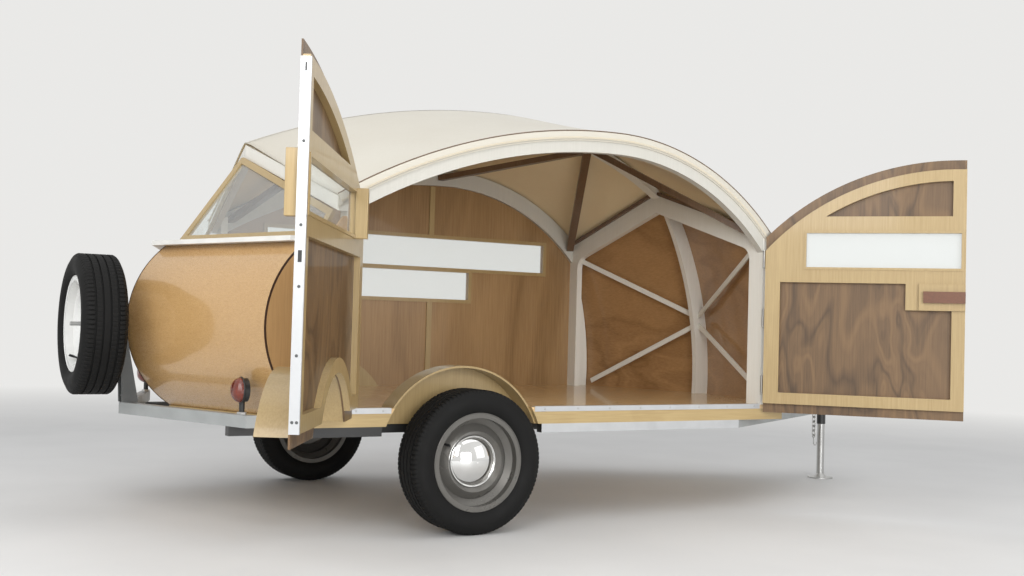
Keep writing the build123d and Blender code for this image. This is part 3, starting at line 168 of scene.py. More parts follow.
@dataclass
class Graph:
    """The node tree of one material or world."""

    tree: bpy.types.NodeTree

    def node(self, kind: str, settings: dict, inputs: dict, output: str | int = 0) -> Value:
        """Make one node.

        Args:
            kind: type name of the node without its prefix.
            settings: properties of the node, set first.
            inputs: socket values, or values of this graph to link.
            output: name or number of the socket that is handed back.

        Returns:
            The chosen output of the node.
        """
        made = self.tree.nodes.new(f"ShaderNode{kind}")
        for key, value in settings.items():
            setattr(made, key, value)
        for key, value in inputs.items():
            if isinstance(value, Value):
                self.tree.links.new(value.socket, made.inputs[key])
            else:
                made.inputs[key].default_value = value
        return Value(self, made.outputs[output])

    def blend(self, first: object, second: object, share: object, how: str = "MIX") -> Value:
        """Mix two colours by a share."""
        settings = {"data_type": "RGBA", "blend_type": how, "clamp_result": False}
        return self.node("Mix", settings, {0: share, 6: _rgba(first), 7: _rgba(second)}, 2)

    def place(self, scale: Point = FULL_SIZE) -> Value:
        """Coordinates of the piece, scaled along each axis."""
        return self.node("TexCoord", {}, {}, "Object") * tuple(scale)

    def along(self, grain: Grain, share: float) -> Value:
        """Coordinates of the piece with one axis drawn out."""
        return self.place(tuple(share if axis is grain else 1.0 for axis in Grain))

    def noise(
        self, where: Value, scale: float, detail: float = 3.0, rough: float = 0.5, warp: float = 0.0,
    ) -> Value:
        """Cloudy noise between 0 and 1."""
        sockets = {"Vector": where, "Scale": scale, "Detail": detail, "Roughness": rough, "Distortion": warp}
        return self.node("TexNoise", {"noise_dimensions": "3D"}, sockets, "Fac")

    def bump(self, height: Value, strength: float, distance: float) -> Value:
        """A normal that follows a height."""
        return self.node("Bump", {}, {"Height": height, "Strength": strength, "Distance": distance})


def _rgba(colour: object) -> object:
    """Give a plain colour its fourth channel and leave links alone."""
    return colour if isinstance(colour, Value) else (*tuple(colour)[:3], 1.0)


@dataclass(frozen=True)
class Finish:
    """A named surface that can be put on pieces."""

    name: str
    slot: str

    def shade(self, graph: Graph) -> dict:
        """Socket values of the surface shader; each kind of finish has its own."""
        raise NotImplementedError

    def material(self) -> bpy.types.Material:
        """Make the material, or fetch it if it is there.

        Returns:
            The Blender material of this finish.
        """
        known = bpy.data.materials.get(self.name)
        if known:
            return known
        made = bpy.data.materials.new(self.name)
        made.use_nodes = True
        made.node_tree.nodes.clear()
        graph = Graph(made.node_tree)
        surface = self.close(graph, graph.node("BsdfPrincipled", {}, self.shade(graph)))
        end = graph.tree.nodes.new("ShaderNodeOutputMaterial")
        graph.tree.links.new(surface.socket, end.inputs["Surface"])
        LOG.info("finish %s", self.name)
        return made

    def close(self, graph: Graph, surface: Value) -> Value:
        """Last change of the surface shader, none for most finishes."""
        return surface


@dataclass(frozen=True)
class Wood(Finish):
    """Varnished or painted wood with broad figure, fibres and fine pores."""

    light: Colour
    dark: Colour
    grain: Grain = Grain.UP
    figure: float = 0.4
    size: float = 2.6
    bands: float = 9.0
    rough: float = 0.3
    coat: float = 0.4
    joints: tuple[tuple[Grain, float], ...] = ()
    joint_width: ClassVar[float] = 0.0016
    fibre_scale: ClassVar[float] = 150.0
    pore_scale: ClassVar[float] = 560.0

    def shade(self, graph: Graph) -> dict:
        """Draw contour lines of a stretched noise for the figure, with fibres and pores along the grain.

        Args:
            graph: nodes of the material.

        Returns:
            Values of the shader's sockets.
        """
        broad = graph.along(self.grain, 0.3)
        figure = graph.noise(broad, self.size, 2.0, 0.45, 0.7) * self.bands
        lines = graph.node("Math", {"operation": "PINGPONG"}, {0: figure, 1: 1.0}) ** 1.4
        veins = graph.node("Math", {"operation": "PINGPONG"}, {0: figure * 2.7, 1: 1.0})
        fine = graph.along(self.grain, 0.035)
        fibres = graph.noise(fine, self.fibre_scale, 3.0, 0.6).spread(0.28, 0.72)
        pores = graph.noise(fine, self.pore_scale, 2.0, 0.6)
        cloud = graph.noise(broad, 1.7, 3.0).spread(0.3, 0.7)
        tone = (lines * 0.75 + veins * 0.3) * self.figure + fibres * (0.75 - 0.6 * self.figure) + cloud * 0.3
        tone = tone.spread(0.12, 1.12)
        for axis, spot in self.joints:
            line = graph.node("SeparateXYZ", {}, {0: graph.place()}, axis.value)
            near = {0: line, 1: spot, 2: self.joint_width}
            tone = tone + graph.node("Math", {"operation": "COMPARE"}, near) * 1.2
        return {
            "Base Color": graph.blend(self.light, self.dark, tone),
            "Roughness": pores.spread(0.3, 0.7, self.rough, self.rough + 0.12),
            "Coat Weight": self.coat,
            "Coat Roughness": 0.07,
            "Normal": graph.bump(pores * 0.3 + fibres, 0.06, 0.0004),
        }


@dataclass(frozen=True)
class Paint(Finish):
    """Painted or plated metal with faint unevenness."""

    colour: Colour
    metal: float = 0.0
    rough: float = 0.4
    coat: float = 0.0
    peel: float = 0.06

    def shade(self, graph: Graph) -> dict:
        """Blotch the colour a little and give the coat an orange peel.

        Args:
            graph: nodes of the material.

        Returns:
            Values of the shader's sockets.
        """
        where = graph.place()
        blotch = graph.noise(where, 9.0, 4.0)
        peel = graph.noise(where, 260.0, 2.0)
        worn = tuple(c * 0.86 for c in self.colour)
        return {
            "Base Color": graph.blend(self.colour, worn, blotch.spread(0.4, 0.75)),
            "Metallic": self.metal,
            "Roughness": blotch.spread(0.3, 0.7, self.rough * 0.85, self.rough * 1.2),
            "Coat Weight": self.coat,
            "Normal": graph.bump(peel, self.peel, 0.0006),
        }


@dataclass(frozen=True)
class Canvas(Finish):
    """Woven roof cloth."""

    colour: Colour
    stain_colour: Colour
    thread_scale: ClassVar[float] = 240.0

    def shade(self, graph: Graph) -> dict:
        """Cross two thread waves for the weave and let soft stains tint it.

        Args:
            graph: nodes of the material.

        Returns:
            Values of the shader's sockets.
        """
        where = graph.place()
        wave = {"Vector": where, "Scale": self.thread_scale}
        threads = [graph.node("TexWave", {"bands_direction": way}, wave, "Fac") for way in "XY"]
        stain = graph.noise(where, 2.2, 4.0)
        slub = graph.noise(graph.along(Grain.ALONG, 0.05), 220.0, 2.0)
        tone = stain.spread(0.35, 0.8) * 0.7 + slub.spread(0.45, 0.8) * 0.3
        return {
            "Base Color": graph.blend(self.colour, self.stain_colour, tone),
            "Roughness": slub.spread(0.3, 0.7, 0.78, 0.9),
            "Sheen Weight": 0.12,
            "Normal": graph.bump(threads[0] * threads[1], 0.14, 0.0004),
        }


@dataclass(frozen=True)
class Rubber(Finish):
    """Tyre rubber, with moulded rings round the axle of the piece."""

    colour: Colour

    def shade(self, graph: Graph) -> dict:
        """Dusty uneven black, and fine rings by the distance from the axle.

        Args:
            graph: nodes of the material.

        Returns:
            Values of the shader's sockets.
        """
        where = graph.place()
        dust = graph.noise(where, 14.0, 5.0)
        grit = graph.noise(where, 480.0, 2.0)
        reach = graph.node("VectorMath", {"operation": "LENGTH"}, {0: where * (1.0, 1.0, 0.0)}, "Value")
        rings = graph.node("Math", {"operation": "SINE"}, {0: reach * 900.0})
        pale = tuple(c * 2.0 for c in self.colour)
        return {
            "Base Color": graph.blend(self.colour, pale, dust.spread(0.45, 0.85)),
            "Roughness": dust.spread(0.3, 0.7, 0.62, 0.8),
            "Specular IOR Level": 0.2,
            "Normal": graph.bump(grit * 0.6 + rings * 0.5, 0.25, 0.0006),
        }


@dataclass(frozen=True)
class Glass(Finish):
    """A thin clear pane that lets light through."""

    tint: Colour
    polish: ClassVar[float] = 0.14

    def shade(self, graph: Graph) -> dict:
        """Polished pane with faint smears."""
        smear = graph.noise(graph.place(), 5.0, 3.0)
        return {"Base Color": (*self.tint, 1.0), "Roughness": smear.spread(0.4, 0.8, 0.02, 0.09), "IOR": 1.3}

    def close(self, graph: Graph, surface: Value) -> Value:
        """Mix the polish with a clear sheet."""
        clear = graph.node("BsdfTransparent", {}, {"Color": (*self.tint, 1.0)})
        return graph.node("MixShader", {}, {0: self.polish, 1: clear, 2: surface})


@dataclass(frozen=True)
class Lens(Finish):
    """Moulded coloured plastic of a lamp."""

    colour: Colour

    def shade(self, graph: Graph) -> dict:
        """Deep colour with moulded flutes and darker clouds.

        Args:
            graph: nodes of the material.

        Returns:
            Values of the shader's sockets.
        """
        where = graph.place()
        flutes = graph.node("TexWave", {"bands_direction": "Z"}, {"Vector": where, "Scale": 60.0}, "Fac")
        cloud = graph.noise(where, 40.0, 2.0)
        dark = tuple(c * 0.35 for c in self.colour)
        return {
            "Base Color": graph.blend(self.colour, dark, flutes * 0.4 + cloud.spread(0.3, 0.7) * 0.5),
            "Roughness": 0.12,
            "Coat Weight": 0.6,
            "Normal": graph.bump(flutes, 0.35, 0.0015),
        }


@dataclass(frozen=True)
class Backdrop(Finish):
    """A studio floor that runs out into the backdrop."""

    colour: Colour
    far: Colour
    middle: Point = (-2.3, 0.0, 0.0)
    fade: Flat = (4.5, 10.0)

    def shade(self, graph: Graph) -> dict:
        """Plain paint with soft blotches.

        Args:
            graph: nodes of the material.

        Returns:
            Values of the shader's sockets.
        """
        blotch = graph.noise(graph.place(), 1.6, 4.0).spread(0.35, 0.7)
        worn = tuple(c * 0.95 for c in self.colour)
        return {"Base Color": graph.blend(self.colour, worn, blotch), "Roughness": 0.6}

    def close(self, graph: Graph, surface: Value) -> Value:
        """Let the far floor turn into the even tone of the backdrop.

        Args:
            graph: nodes of the material.
            surface: the painted floor.

        Returns:
            The shader of the whole floor.
        """
        away = graph.place() - self.middle
        reach = graph.node("VectorMath", {"operation": "LENGTH"}, {0: away}, "Value")
        glow = graph.node("Emission", {}, {"Color": (*self.far, 1.0), "Strength": 1.0})
        return graph.node("MixShader", {}, {0: reach.spread(*self.fade), 1: surface, 2: glow})


CANVAS = Canvas("canvas_cloth", "canvas", (0.58, 0.55, 0.475), (0.53, 0.49, 0.41))
LINING = Canvas("canvas_lining", "canvas", (0.82, 0.68, 0.44), (0.74, 0.60, 0.37))
PIPING = Paint("piping_cord", "dark_rafter", (0.15, 0.10, 0.065), 0.0, 0.7)
BIRCH = Wood(
    "birch_varnish", "birch", (0.43, 0.315, 0.15), (0.32, 0.22, 0.092), figure=0.15, size=3.5, bands=6.0,
)
BIRCH_LONG = Wood(
    "birch_edge", "birch", (0.50, 0.37, 0.175), (0.36, 0.245, 0.10), Grain.ALONG, 0.3, 5.0, 8.0,
)
WALL_PLY = Wood(
    "wall_veneer", "wall_ply", (0.40, 0.25, 0.115), (0.22, 0.125, 0.05), figure=0.5, size=1.5, bands=9.0,
)
PROW_PLY = Wood(
    "prow_veneer", "wall_ply", (0.46, 0.265, 0.115), (0.24, 0.125, 0.048), Grain.ACROSS, 0.55, 2.2, 10.0,
)
DOOR_PLY = Wood(
    "door_veneer", "door_ply", (0.19, 0.108, 0.044), (0.06, 0.031, 0.011),
    Grain.UP, 0.7, 3.6, 15.0, 0.4, 0.15,
)
BARREL_PLY = Wood(
    "barrel_veneer", "barrel_ply", (0.57, 0.36, 0.155), (0.45, 0.26, 0.10),
    Grain.ACROSS, 0.12, 1.6, 5.0, 0.22, 0.9,
)
CORNER_PLY = Wood("corner_veneer", "barrel_ply", (0.56, 0.34, 0.15), (0.44, 0.25, 0.10), figure=0.2, size=2.0)
SEAM = Paint("seam_stain", "dark_rafter", (0.05, 0.022, 0.01), 0.0, 0.5)
FLOOR_PLY = Wood(
    "floor_varnish", "floor_ply", (0.74, 0.52, 0.27), (0.54, 0.35, 0.155),
    Grain.ALONG, 0.3, 2.2, 8.0, 0.2, 0.5,
    ((Grain.ALONG, -2.10), (Grain.ACROSS, 0.42), (Grain.ACROSS, -0.42)),
)
PALE_FRAME = Wood(
    "pale_paint", "pale_frame", (0.78, 0.76, 0.70), (0.72, 0.70, 0.635), figure=0.1, rough=0.42, coat=0.1,
)
# The side arches take a darker copy of the pale frame paint: painted shade that holds down the brightly lit
# arches.
PALE_ARCH_SHADED = Wood(
    "arch_paint", "pale_frame", (0.55, 0.535, 0.485), (0.50, 0.485, 0.435), figure=0.1, rough=0.42, coat=0.1,
)
LEDGE = Paint("ledge_paint", "pale_frame", (0.80, 0.79, 0.75), 0.0, 0.4, 0.1)
DARK_RAFTER = Wood("rafter_stain", "dark_rafter", (0.17, 0.098, 0.052), (0.085, 0.046, 0.023), figure=0.3)
HANDLE_WOOD = Wood("handle_stain", "dark_rafter", (0.16, 0.055, 0.02), (0.08, 0.026, 0.01), Grain.ALONG, 0.2)
BLACK_STEEL = Paint("black_paint", "black_steel", (0.022, 0.022, 0.022), 0.0, 0.4, 0.2)
GREY_STEEL = Paint("grey_paint", "grey_steel", (0.36, 0.375, 0.37), 0.1, 0.4)
DARK_STEEL = Paint("dark_paint", "dark_steel", (0.095, 0.10, 0.10), 0.2, 0.45)
ALUMINIUM = Paint("satin_aluminium", "aluminium", (0.60, 0.61, 0.62), 0.6, 0.32)
ZINC = Paint("zinc_plate", "zinc", (0.52, 0.52, 0.51), 0.9, 0.36)
# Silver rim paint darkened to a dark grey: the real silver paint plus painted shade of the rim between hubcap
# and edge.
SILVER_RIM_SHADED = Paint("silver_paint", "silver_rim", (0.14, 0.134, 0.122), 0.4, 0.3, 0.2)
WHITE_RIM = Paint("white_paint", "white_rim", (0.76, 0.76, 0.74), 0.0, 0.28, 0.3)
BRIGHT_CAP = Paint("polished_cap", "bright_cap", (0.86, 0.86, 0.85), 1.0, 0.05, 0.0, 0.01)
TYRE = Rubber("tyre_rubber", "tyre", (0.0055, 0.0054, 0.0052))
VALVE = Paint("valve_rubber", "tyre", (0.012, 0.012, 0.012), 0.0, 0.5)
PANE = Glass("clear_pane_glass", "clear_pane", (0.95, 0.965, 0.96))
LAMP_CUP = Paint("lamp_black", "lamp_cup", (0.02, 0.02, 0.02), 0.0, 0.35)
RED_LENS = Lens("lamp_red", "red_lens", (0.22, 0.03, 0.012))
BACK_TONE = (0.82, 0.815, 0.80)
FLOOR = Backdrop("floor_paint", "", (0.78, 0.775, 0.76), BACK_TONE)


def arc(first: Flat, through: Flat, last: Flat, count: int) -> list[Flat]:
    """Sample the circle through three points of a plane.

    Args:
        first: start of the arc.
        through: a point on the way.
        last: end of the arc.
        count: number of steps.

    Returns:
        The points from first to last, both included.
    """
    (ax, ay), (bx, by), (cx, cy) = first, through, last
    twice = 2 * (ax * (by - cy) + bx * (cy - ay) + cx * (ay - by))
    squares = [x * x + y * y for x, y in (first, through, last)]
    mx = (squares[0] * (by - cy) + squares[1] * (cy - ay) + squares[2] * (ay - by)) / twice
    my = (squares[0] * (cx - bx) + squares[1] * (ax - cx) + squares[2] * (bx - ax)) / twice
    radius = hypot(ax - mx, ay - my)
    start, middle, end = (atan2(y - my, x - mx) for x, y in (first, through, last))
    turn = (end - start) % tau
    if (middle - start) % tau > turn:
        turn -= tau
    angles = [start + turn * i / count for i in range(count + 1)]
    return [(mx + radius * cos(a), my + radius * sin(a)) for a in angles]


def facing(spot: Sequence[float], way: Sequence[float]) -> Matrix:
    """Where a piece made round +Z belongs so that it stands at a spot and faces a way."""
    return Matrix.Translation(spot) @ Vector(way).to_track_quat("Z", "Y").to_matrix().to_4x4()


def round_turn(count: int) -> list[float]:
    """Even angles of a full turn."""
    return [tau * i / count for i in range(count)]


def polar(radius: float, angle: float, height: float = 0.0) -> Point:
    """A point at a distance and an angle round the Z axis."""
    return radius * cos(angle), radius * sin(angle), height


def span(line: Sequence[Vector]) -> float:
    """Length of a line of points."""
    return sum((b - a).length for a, b in zip(line, line[1:]))


def swing(pin: Flat, degrees: float) -> Matrix:
    """The turn of a door about its hinge pin from shut to open."""
    there = Matrix.Translation((*pin, 0.0))
    return there @ Matrix.Rotation(radians(degrees), 4, "Z") @ there.inverted()


@dataclass
class Shape:
    """Points and faces of a mesh that grows piece by piece."""

    points: list[Vector] = field(default_factory=list)
    faces: list[tuple[int, ...]] = field(default_factory=list)

    def join(self, other: Shape, where: Matrix | None = None) -> Shape:
        """Add a moved copy of another shape to this one.

        Args:
            other: the shape to copy.
            where: the move, or none.

        Returns:
            This shape.
        """
        start = len(self.points)
        move = where or Matrix()
        self.points.extend(move @ point for point in other.points)
        self.faces.extend(tuple(start + i for i in face) for face in other.faces)
        return self

    def area(self) -> float:
        """Add up the faces, each with four corners.

        Returns:
            Their total area.
        """
        total = 0.0
        for a, b, c, d in self.faces:
            p, q, r, s = (self.points[i] for i in (a, b, c, d))
            total += ((q - p).cross(r - p).length + (r - p).cross(s - p).length) / 2
        return total

    def mesh(self, name: str, sharp: float, keep_sides: bool) -> bpy.types.Mesh:
        """Make the Blender mesh.

        Args:
            name: name of the mesh.
            sharp: angle in degrees above which an edge stays sharp.
            keep_sides: leave the faces the way round that they were drawn.

        Returns:
            The smooth shaded mesh.
        """
        made = bpy.data.meshes.new(name)
        made.from_pydata(self.points, [], self.faces)
        work = bmesh.new()
        work.from_mesh(made)
        bmesh.ops.remove_doubles(work, verts=work.verts, dist=1e-7)
        if not keep_sides:
            bmesh.ops.recalc_face_normals(work, faces=work.faces)
        work.to_mesh(made)
        work.free()
        made.polygons.foreach_set("use_smooth", [True] * len(made.polygons))
        made.set_sharp_from_angle(angle=radians(sharp))
        return made

    @classmethod
    def grid(cls, rows: list, wrap_rows: bool = False, wrap_columns: bool = False) -> Shape:
        """Join rows of points by faces of four corners.

        Args:
            rows: the points, as many in each row.
            wrap_rows: join the last row to the first.
            wrap_columns: join the last point of each row to its first.

        Returns:
            The open or closed skin.
        """
        count, width = len(rows), len(rows[0])
        made = cls([Vector(point) for row in rows for point in row])
        for i in range(count if wrap_rows else count - 1):
            for j in range(width if wrap_columns else width - 1):
                here, there, right = i * width, (i + 1) % count * width, (j + 1) % width
                made.faces.append((here + j, there + j, there + right, here + right))
        return made

    @classmethod
    def loft(cls, rows: list) -> Shape:
        """Join closed sections and close both ends.

        Args:
            rows: the points of each section.

        Returns:
            The closed shape.
        """
        made = cls.grid(rows, False, True)
        every, count = len(made.points), len(rows[0])
        made.faces += [tuple(range(count)), tuple(range(every - count, every))]
        return made

    @classmethod
    def lathe(cls, profile: Sequence[Flat], count: int, closed: bool = False) -> Shape:
        """An open or closed profile of radius and height, turned round the Z axis."""
        return cls.grid([[polar(r, a, z) for r, z in profile] for a in round_turn(count)], True, closed)

    @classmethod
    def turned(cls, outline: Line, radius: float, count: int) -> Shape:
        """An outline in shares of a radius, turned round the Z axis."""
        return cls.lathe([(radius * r, radius * z) for r, z in outline], count)

    @classmethod
    def screw(cls, radius: float) -> Shape:
        """A round head with a recess, facing +Z."""
        return cls.turned(SCREW_HEAD, radius, 14)

    @classmethod
    def bolt(cls, radius: float) -> Shape:
        """A six sided head on a washer, facing +Z."""
        return cls.turned(BOLT_HEAD, radius, 6).join(cls.turned(WASHER, radius, 24))

    @classmethod
    def ring(cls, radius: float, wire: float, height: float, count: int = 72) -> Shape:
        """A round wire bent to a ring about the Z axis."""
        section = [(radius + wire * cos(a), height + wire * sin(a)) for a in round_turn(10)]
        return cls.lathe(section, count, True)

    @classmethod
    def tube(cls, path: Sequence[Sequence[float]], radius: float, sides: int = 10) -> Shape:
        """Draw a round bar along a path.

        Args:
            path: points of its middle line.
            radius: of the bar.
            sides: points of each section.

        Returns:
            The bar, closed at both ends.
        """
        spots = [Vector(point) for point in path]
        last = len(spots) - 1
        ways = [(spots[min(i + 1, last)] - spots[max(i - 1, 0)]).normalized() for i in range(last + 1)]
        turn = ways[0].to_track_quat("Z", "Y")
        section = [Vector(polar(radius, angle)) for angle in round_turn(sides)]
        rows = []
        for i, (spot, way) in enumerate(zip(spots, ways)):
            turn = ways[max(i - 1, 0)].rotation_difference(way) @ turn
            rows.append([spot + turn @ point for point in section])
        return cls.loft(rows)

    @classmethod
    def block(cls, low: Point, high: Point) -> Shape:
        """A block between two corners."""
        x, y, z = zip(low, high)
        return cls.loft([[(x[i], y[j], z[k]) for i, j in ((0, 0), (1, 0), (1, 1), (0, 1))] for k in (0, 1)])

    @classmethod
    def blocks(cls, boxes: Iterable[Box]) -> Shape:
        """Blocks between pairs of corners."""
        return reduce(lambda made, box: made.join(cls.block(*box)), boxes, cls())

    @classmethod
    def many(cls, one: Shape, places: Iterable[Matrix]) -> Shape:
        """Copies of one shape at many places."""
        return reduce(lambda made, place: made.join(one, place), places, cls())

    @classmethod
    def bar(cls, start: Sequence[float], end: Sequence[float], up: Sequence[float], section: Flat) -> Shape:
        """Lay a straight bar between two points.

        Args:
            start: middle of the first end.
            end: middle of the last end.
            up: the way that its height is turned towards.
            section: width and height.

        Returns:
            The bar.
        """
        first, last = Vector(start), Vector(end)
        way = (last - first).normalized()
        side = way.cross(Vector(up)).normalized() * section[0] / 2
        rise = side.cross(way).normalized() * section[1] / 2
        rows = []
        for spot in (first, last):
            rows.append([spot + side + rise, spot - side + rise, spot - side - rise, spot + side - rise])
        return cls.loft(rows)

    @classmethod
    def plate(cls, outline: Line, low: float, high: float) -> Shape:
        """A plate with an outline of X and Z, between two places across."""
        return cls.loft([[(x, y, z) for x, z in outline] for y in (low, high)])


@dataclass
class Assembly:
    """A group of pieces: CAD nodes with their finishes, and the pieces added to them."""

    nodes: dict[str, bpy.types.Object]
    sharp: ClassVar[float] = 32.0
    finishes: ClassVar[dict[Finish, str]] = {}

    def build(self) -> None:
        """Add the pieces that the CAD model leaves out."""

    def dress(self) -> None:
        """Put each finish on the CAD nodes that are named for it."""
        for finish, names in self.finishes.items():
            for name in names.split():
                materials = self.nodes[name].data.materials
                materials.clear()
                materials.append(finish.material())
                LOG.info("dressed %s", name)

    def repaint(self, name: str, finish: Finish, chosen: Callable[[Vector], bool]) -> None:
        """Give some faces of a CAD node a second finish.

        Args:
            name: the node.
            finish: the second finish.
            chosen: tells from the middle of a face, laid out from the axle, whether it is one of them.
        """
        mesh = self.nodes[name].data
        mesh.materials.append(finish.material())
        for face in mesh.polygons:
            if chosen(face.center + ORIGIN):
                face.material_index = len(mesh.materials) - 1
        LOG.info("repainted %s", name)

    def add(
        self,
        name: str,
        shape: Shape,
        finish: Finish,
        body: Body = Body.TRAILER,
        where: Matrix | None = None,
        stands_for: tuple[str, ...] = (),
        soften: float = 0.0,
        keep_sides: bool = False,
    ) -> bpy.types.Object:
        """Make one piece and let it ride on a body.

        Args:
            name: name of the piece.
            shape: its mesh, laid out from the axle or from its own middle.
            finish: its surface.
            body: the body that it moves with.
            where: its place from the axle, for a shape laid out from its own middle.
            stands_for: CAD nodes that it replaces.
            soften: width of the rounding on its edges.
            keep_sides: leave its faces the way round that they were drawn.

        Returns:
            The Blender object.
        """
        mesh = shape.mesh(name, self.sharp, keep_sides)
        mesh.materials.append(finish.material())
        piece = bpy.data.objects.new(name, mesh)
        bpy.context.scene.collection.objects.link(piece)
        piece.matrix_world = Matrix.Translation(-ORIGIN) @ (where or Matrix())
        if soften:
            edge = piece.modifiers.new("edges", "BEVEL")
            edge.width, edge.segments = soften, 2
        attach(piece, body.value)
        if stands_for:
            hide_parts(*stands_for)
        LOG.info("piece %s on %s", name, body.value)
        return piece


@dataclass
class Roof(Assembly):
    """The stretched canvas, its piping and stitching, and the bows under it.

    A bow is given by its crown's X and Z, its front and rear radius, and the X of its front and rear end. A fan
    of rafters has the X of its hub and the X and Z of its ends. The hem and the piping have a distance out from
    the cloth's edge and a height over the arch.
    """

    finishes = {
        CANVAS: "roof_canvas canvas_trim",
        PALE_ARCH_SHADED: "side_arches",
        PALE_FRAME: "ridge_beam rear_gable",
        DARK_RAFTER: "rafters",
    }
    arch: Row = (0.776, 1.769, 1.2682, 2.6756, 1.702, -0.614)
    ridge: Row = (0.650, 1.969, 1.870, 3.400, 1.775, -0.720)
    half: float = 0.881
    sag: float = 0.010
    crease: float = 0.05
    rise: float = 0.003
    cloth: float = 0.0024
    steps_along: int = 48
    steps_across: int = 28
    hem: Line = (
        (0.0018, 0.0026), (0.0030, 0.0010), (0.0034, -0.0020), (0.0034, -0.018), (0.0034, -0.034),
    )
    piping_spot: Flat = (0.0008, 0.0056)
    piping_radius: float = 0.0026
    stitch_out: float = 0.0034
    stitch_drops: Flat = (-0.024, -0.029)
    stitch_radius: float = 0.0006
    tape: Row = (-0.03, -0.015, 0.0, 0.015, 0.03)
    tape_lift: float = 0.0009
    fans: tuple[tuple[float, Line], ...] = (
        (1.200, ((1.641, 1.367), (0.723, 1.7285))),
        (-0.097, ((-0.514, 1.396), (0.454, 1.7136))),
    )
    hub: Flat = (0.023, 1.845)
    rafter_half: float = 0.8335
    rafter_drop: float = 0.008
    rafter_section: Flat = (0.044, 0.030)
    strip_x: float = 1.652
    strip_ends: Line = ((0.026, 1.636), (0.80, 1.397))
    strip_section: Flat = (0.018, 0.018)
    face_start: float = -0.955
    face_share: float = 1.86
    face_half: float = 0.034
    face_lifts: Flat = (-0.0484, -0.0544)

    @staticmethod
    def bow(line: Row, share: float, lift: float) -> Flat:
        """Find a point of a bow of two arcs.

        Args:
            line: the sizes of the bow.
            share: from -1 at the rear end through 0 at the crown to 1 at the front end.
            lift: height over the line.

        Returns:
            X and Z of the point.
        """
        x, z, front_r, rear_r, front_x, rear_x = line
        radius, end = (front_r, front_x) if share > 0 else (rear_r, rear_x)
        angle = abs(share) * asin((end - x) / radius)
        return x + (radius + lift) * sin(angle), z - radius + (radius + lift) * cos(angle)

    def point(self, share: float, across: float, lift: float = 0.0) -> Vector:
        """Find a point of the stretched cloth.

        Args:
            share: place along the bows.
            across: from -1 at the right arch to 1 at the left one.
            lift: height over the cloth.

        Returns:
            The point.
        """
        side_x, side_z = self.bow(self.arch, share, self.rise + lift)
        top_x, top_z = self.bow(self.ridge, share, lift)
        flat, crease = abs(across), self.crease
        soft = (hypot(across, crease) - crease) / (hypot(1.0, crease) - crease)
        dip = 4.0 * self.sag * flat * (1.0 - flat)
        height = top_z + (side_z - top_z) * soft - dip
        return Vector((top_x + (side_x - top_x) * flat, across * self.half, height))

    def edge(self, share: float, side: int, out: float, lift: float) -> Vector:
        """A point beside the arch, at a distance out from the cloth's edge and a height over the arch."""
        x, z = self.bow(self.arch, share, lift)
        return Vector((x, side * (self.half + out), z))

    def bows(self) -> None:
        """Give the rafters their full section, and face the ridge beam and the portal."""
        boards, strips = Shape(), Shape()
        for side in (-1, 1):
            for hub_x, ends in self.fans:
                start = Vector((hub_x, side * self.hub[0], self.hub[1]))
                for x, z in ends:
                    end = Vector((x, side * self.rafter_half, z))
                    up = (end - start).cross(Vector(UP)).cross(end - start).normalized()
                    drop = up * self.rafter_drop
                    boards.join(Shape.bar(start - drop, end - drop, up, self.rafter_section))
            inner, outer = ((self.strip_x, side * y, z) for y, z in self.strip_ends)
            strips.join(Shape.bar(inner, outer, UP, self.strip_section))
        self.add("rafter_boards", boards, DARK_RAFTER, stands_for=("rafters",), soften=0.0015)
        self.add("portal_strips", strips, DARK_RAFTER)
        rows = []
        wide = self.face_half
        for i in range(self.steps_along + 1):
            share = self.face_start + self.face_share * i / self.steps_along
            (x, top), (_, foot) = (self.bow(self.ridge, share, lift) for lift in self.face_lifts)
            rows.append([(x, -wide, top), (x, wide, top), (x, wide, foot), (x, -wide, foot)])
        self.add("ridge_face", Shape.loft(rows), PALE_FRAME)

    def build(self) -> None:
        """Stretch the cloth over the bows, hem it, and sew piping and tape on."""
        self.bows()
        shares = [i / self.steps_along for i in range(-self.steps_along, self.steps_along + 1)]
        places = [j / self.steps_across for j in range(-self.steps_across, self.steps_across + 1)]
        rows = []
        for share in shares:
            right = [self.edge(share, -1, out, lift) for out, lift in reversed(self.hem)]
            left = [self.edge(share, 1, out, lift) for out, lift in self.hem]
            rows.append(right + [self.point(share, across) for across in places] + left)
        shape = Shape.grid(rows)
        cloth = self.add("roof_sheet", shape, CANVAS, stands_for=("roof_canvas",), keep_sides=True)
        cloth.data.materials.append(LINING.material())
        skin = cloth.modifiers.new("cloth", "SOLIDIFY")
        skin.thickness, skin.offset, skin.material_offset = self.cloth, -1.0, 1

        piping, stitches = Shape(), Shape()
        for side in (-1, 1):
            cord = [self.edge(s, side, *self.piping_spot) for s in shares]
            piping.join(Shape.tube(cord, self.piping_radius))
            for drop in self.stitch_drops:
                seam = [self.edge(s, side, self.stitch_out, drop) for s in shares]
                stitches.join(Shape.tube(seam, self.stitch_radius, 6))
        tape = [[self.point(s, across, self.tape_lift) for across in self.tape] for s in shares]
        extras = [
            self.add("roof_piping", piping, PIPING),
            self.add("hem_stitches", stitches, LINING),
            self.add("ridge_tape", Shape.grid(tape), CANVAS, keep_sides=True),
        ]
        width = span(rows[self.steps_along])
        length = max(span([row[len(row) // 2] for row in rows]), span([row[0] for row in rows]))
        area = min(shape.area(), width * length)
        LOG.info("cloth %.3f by %.3f m, %.3f square metres", width, length, area)


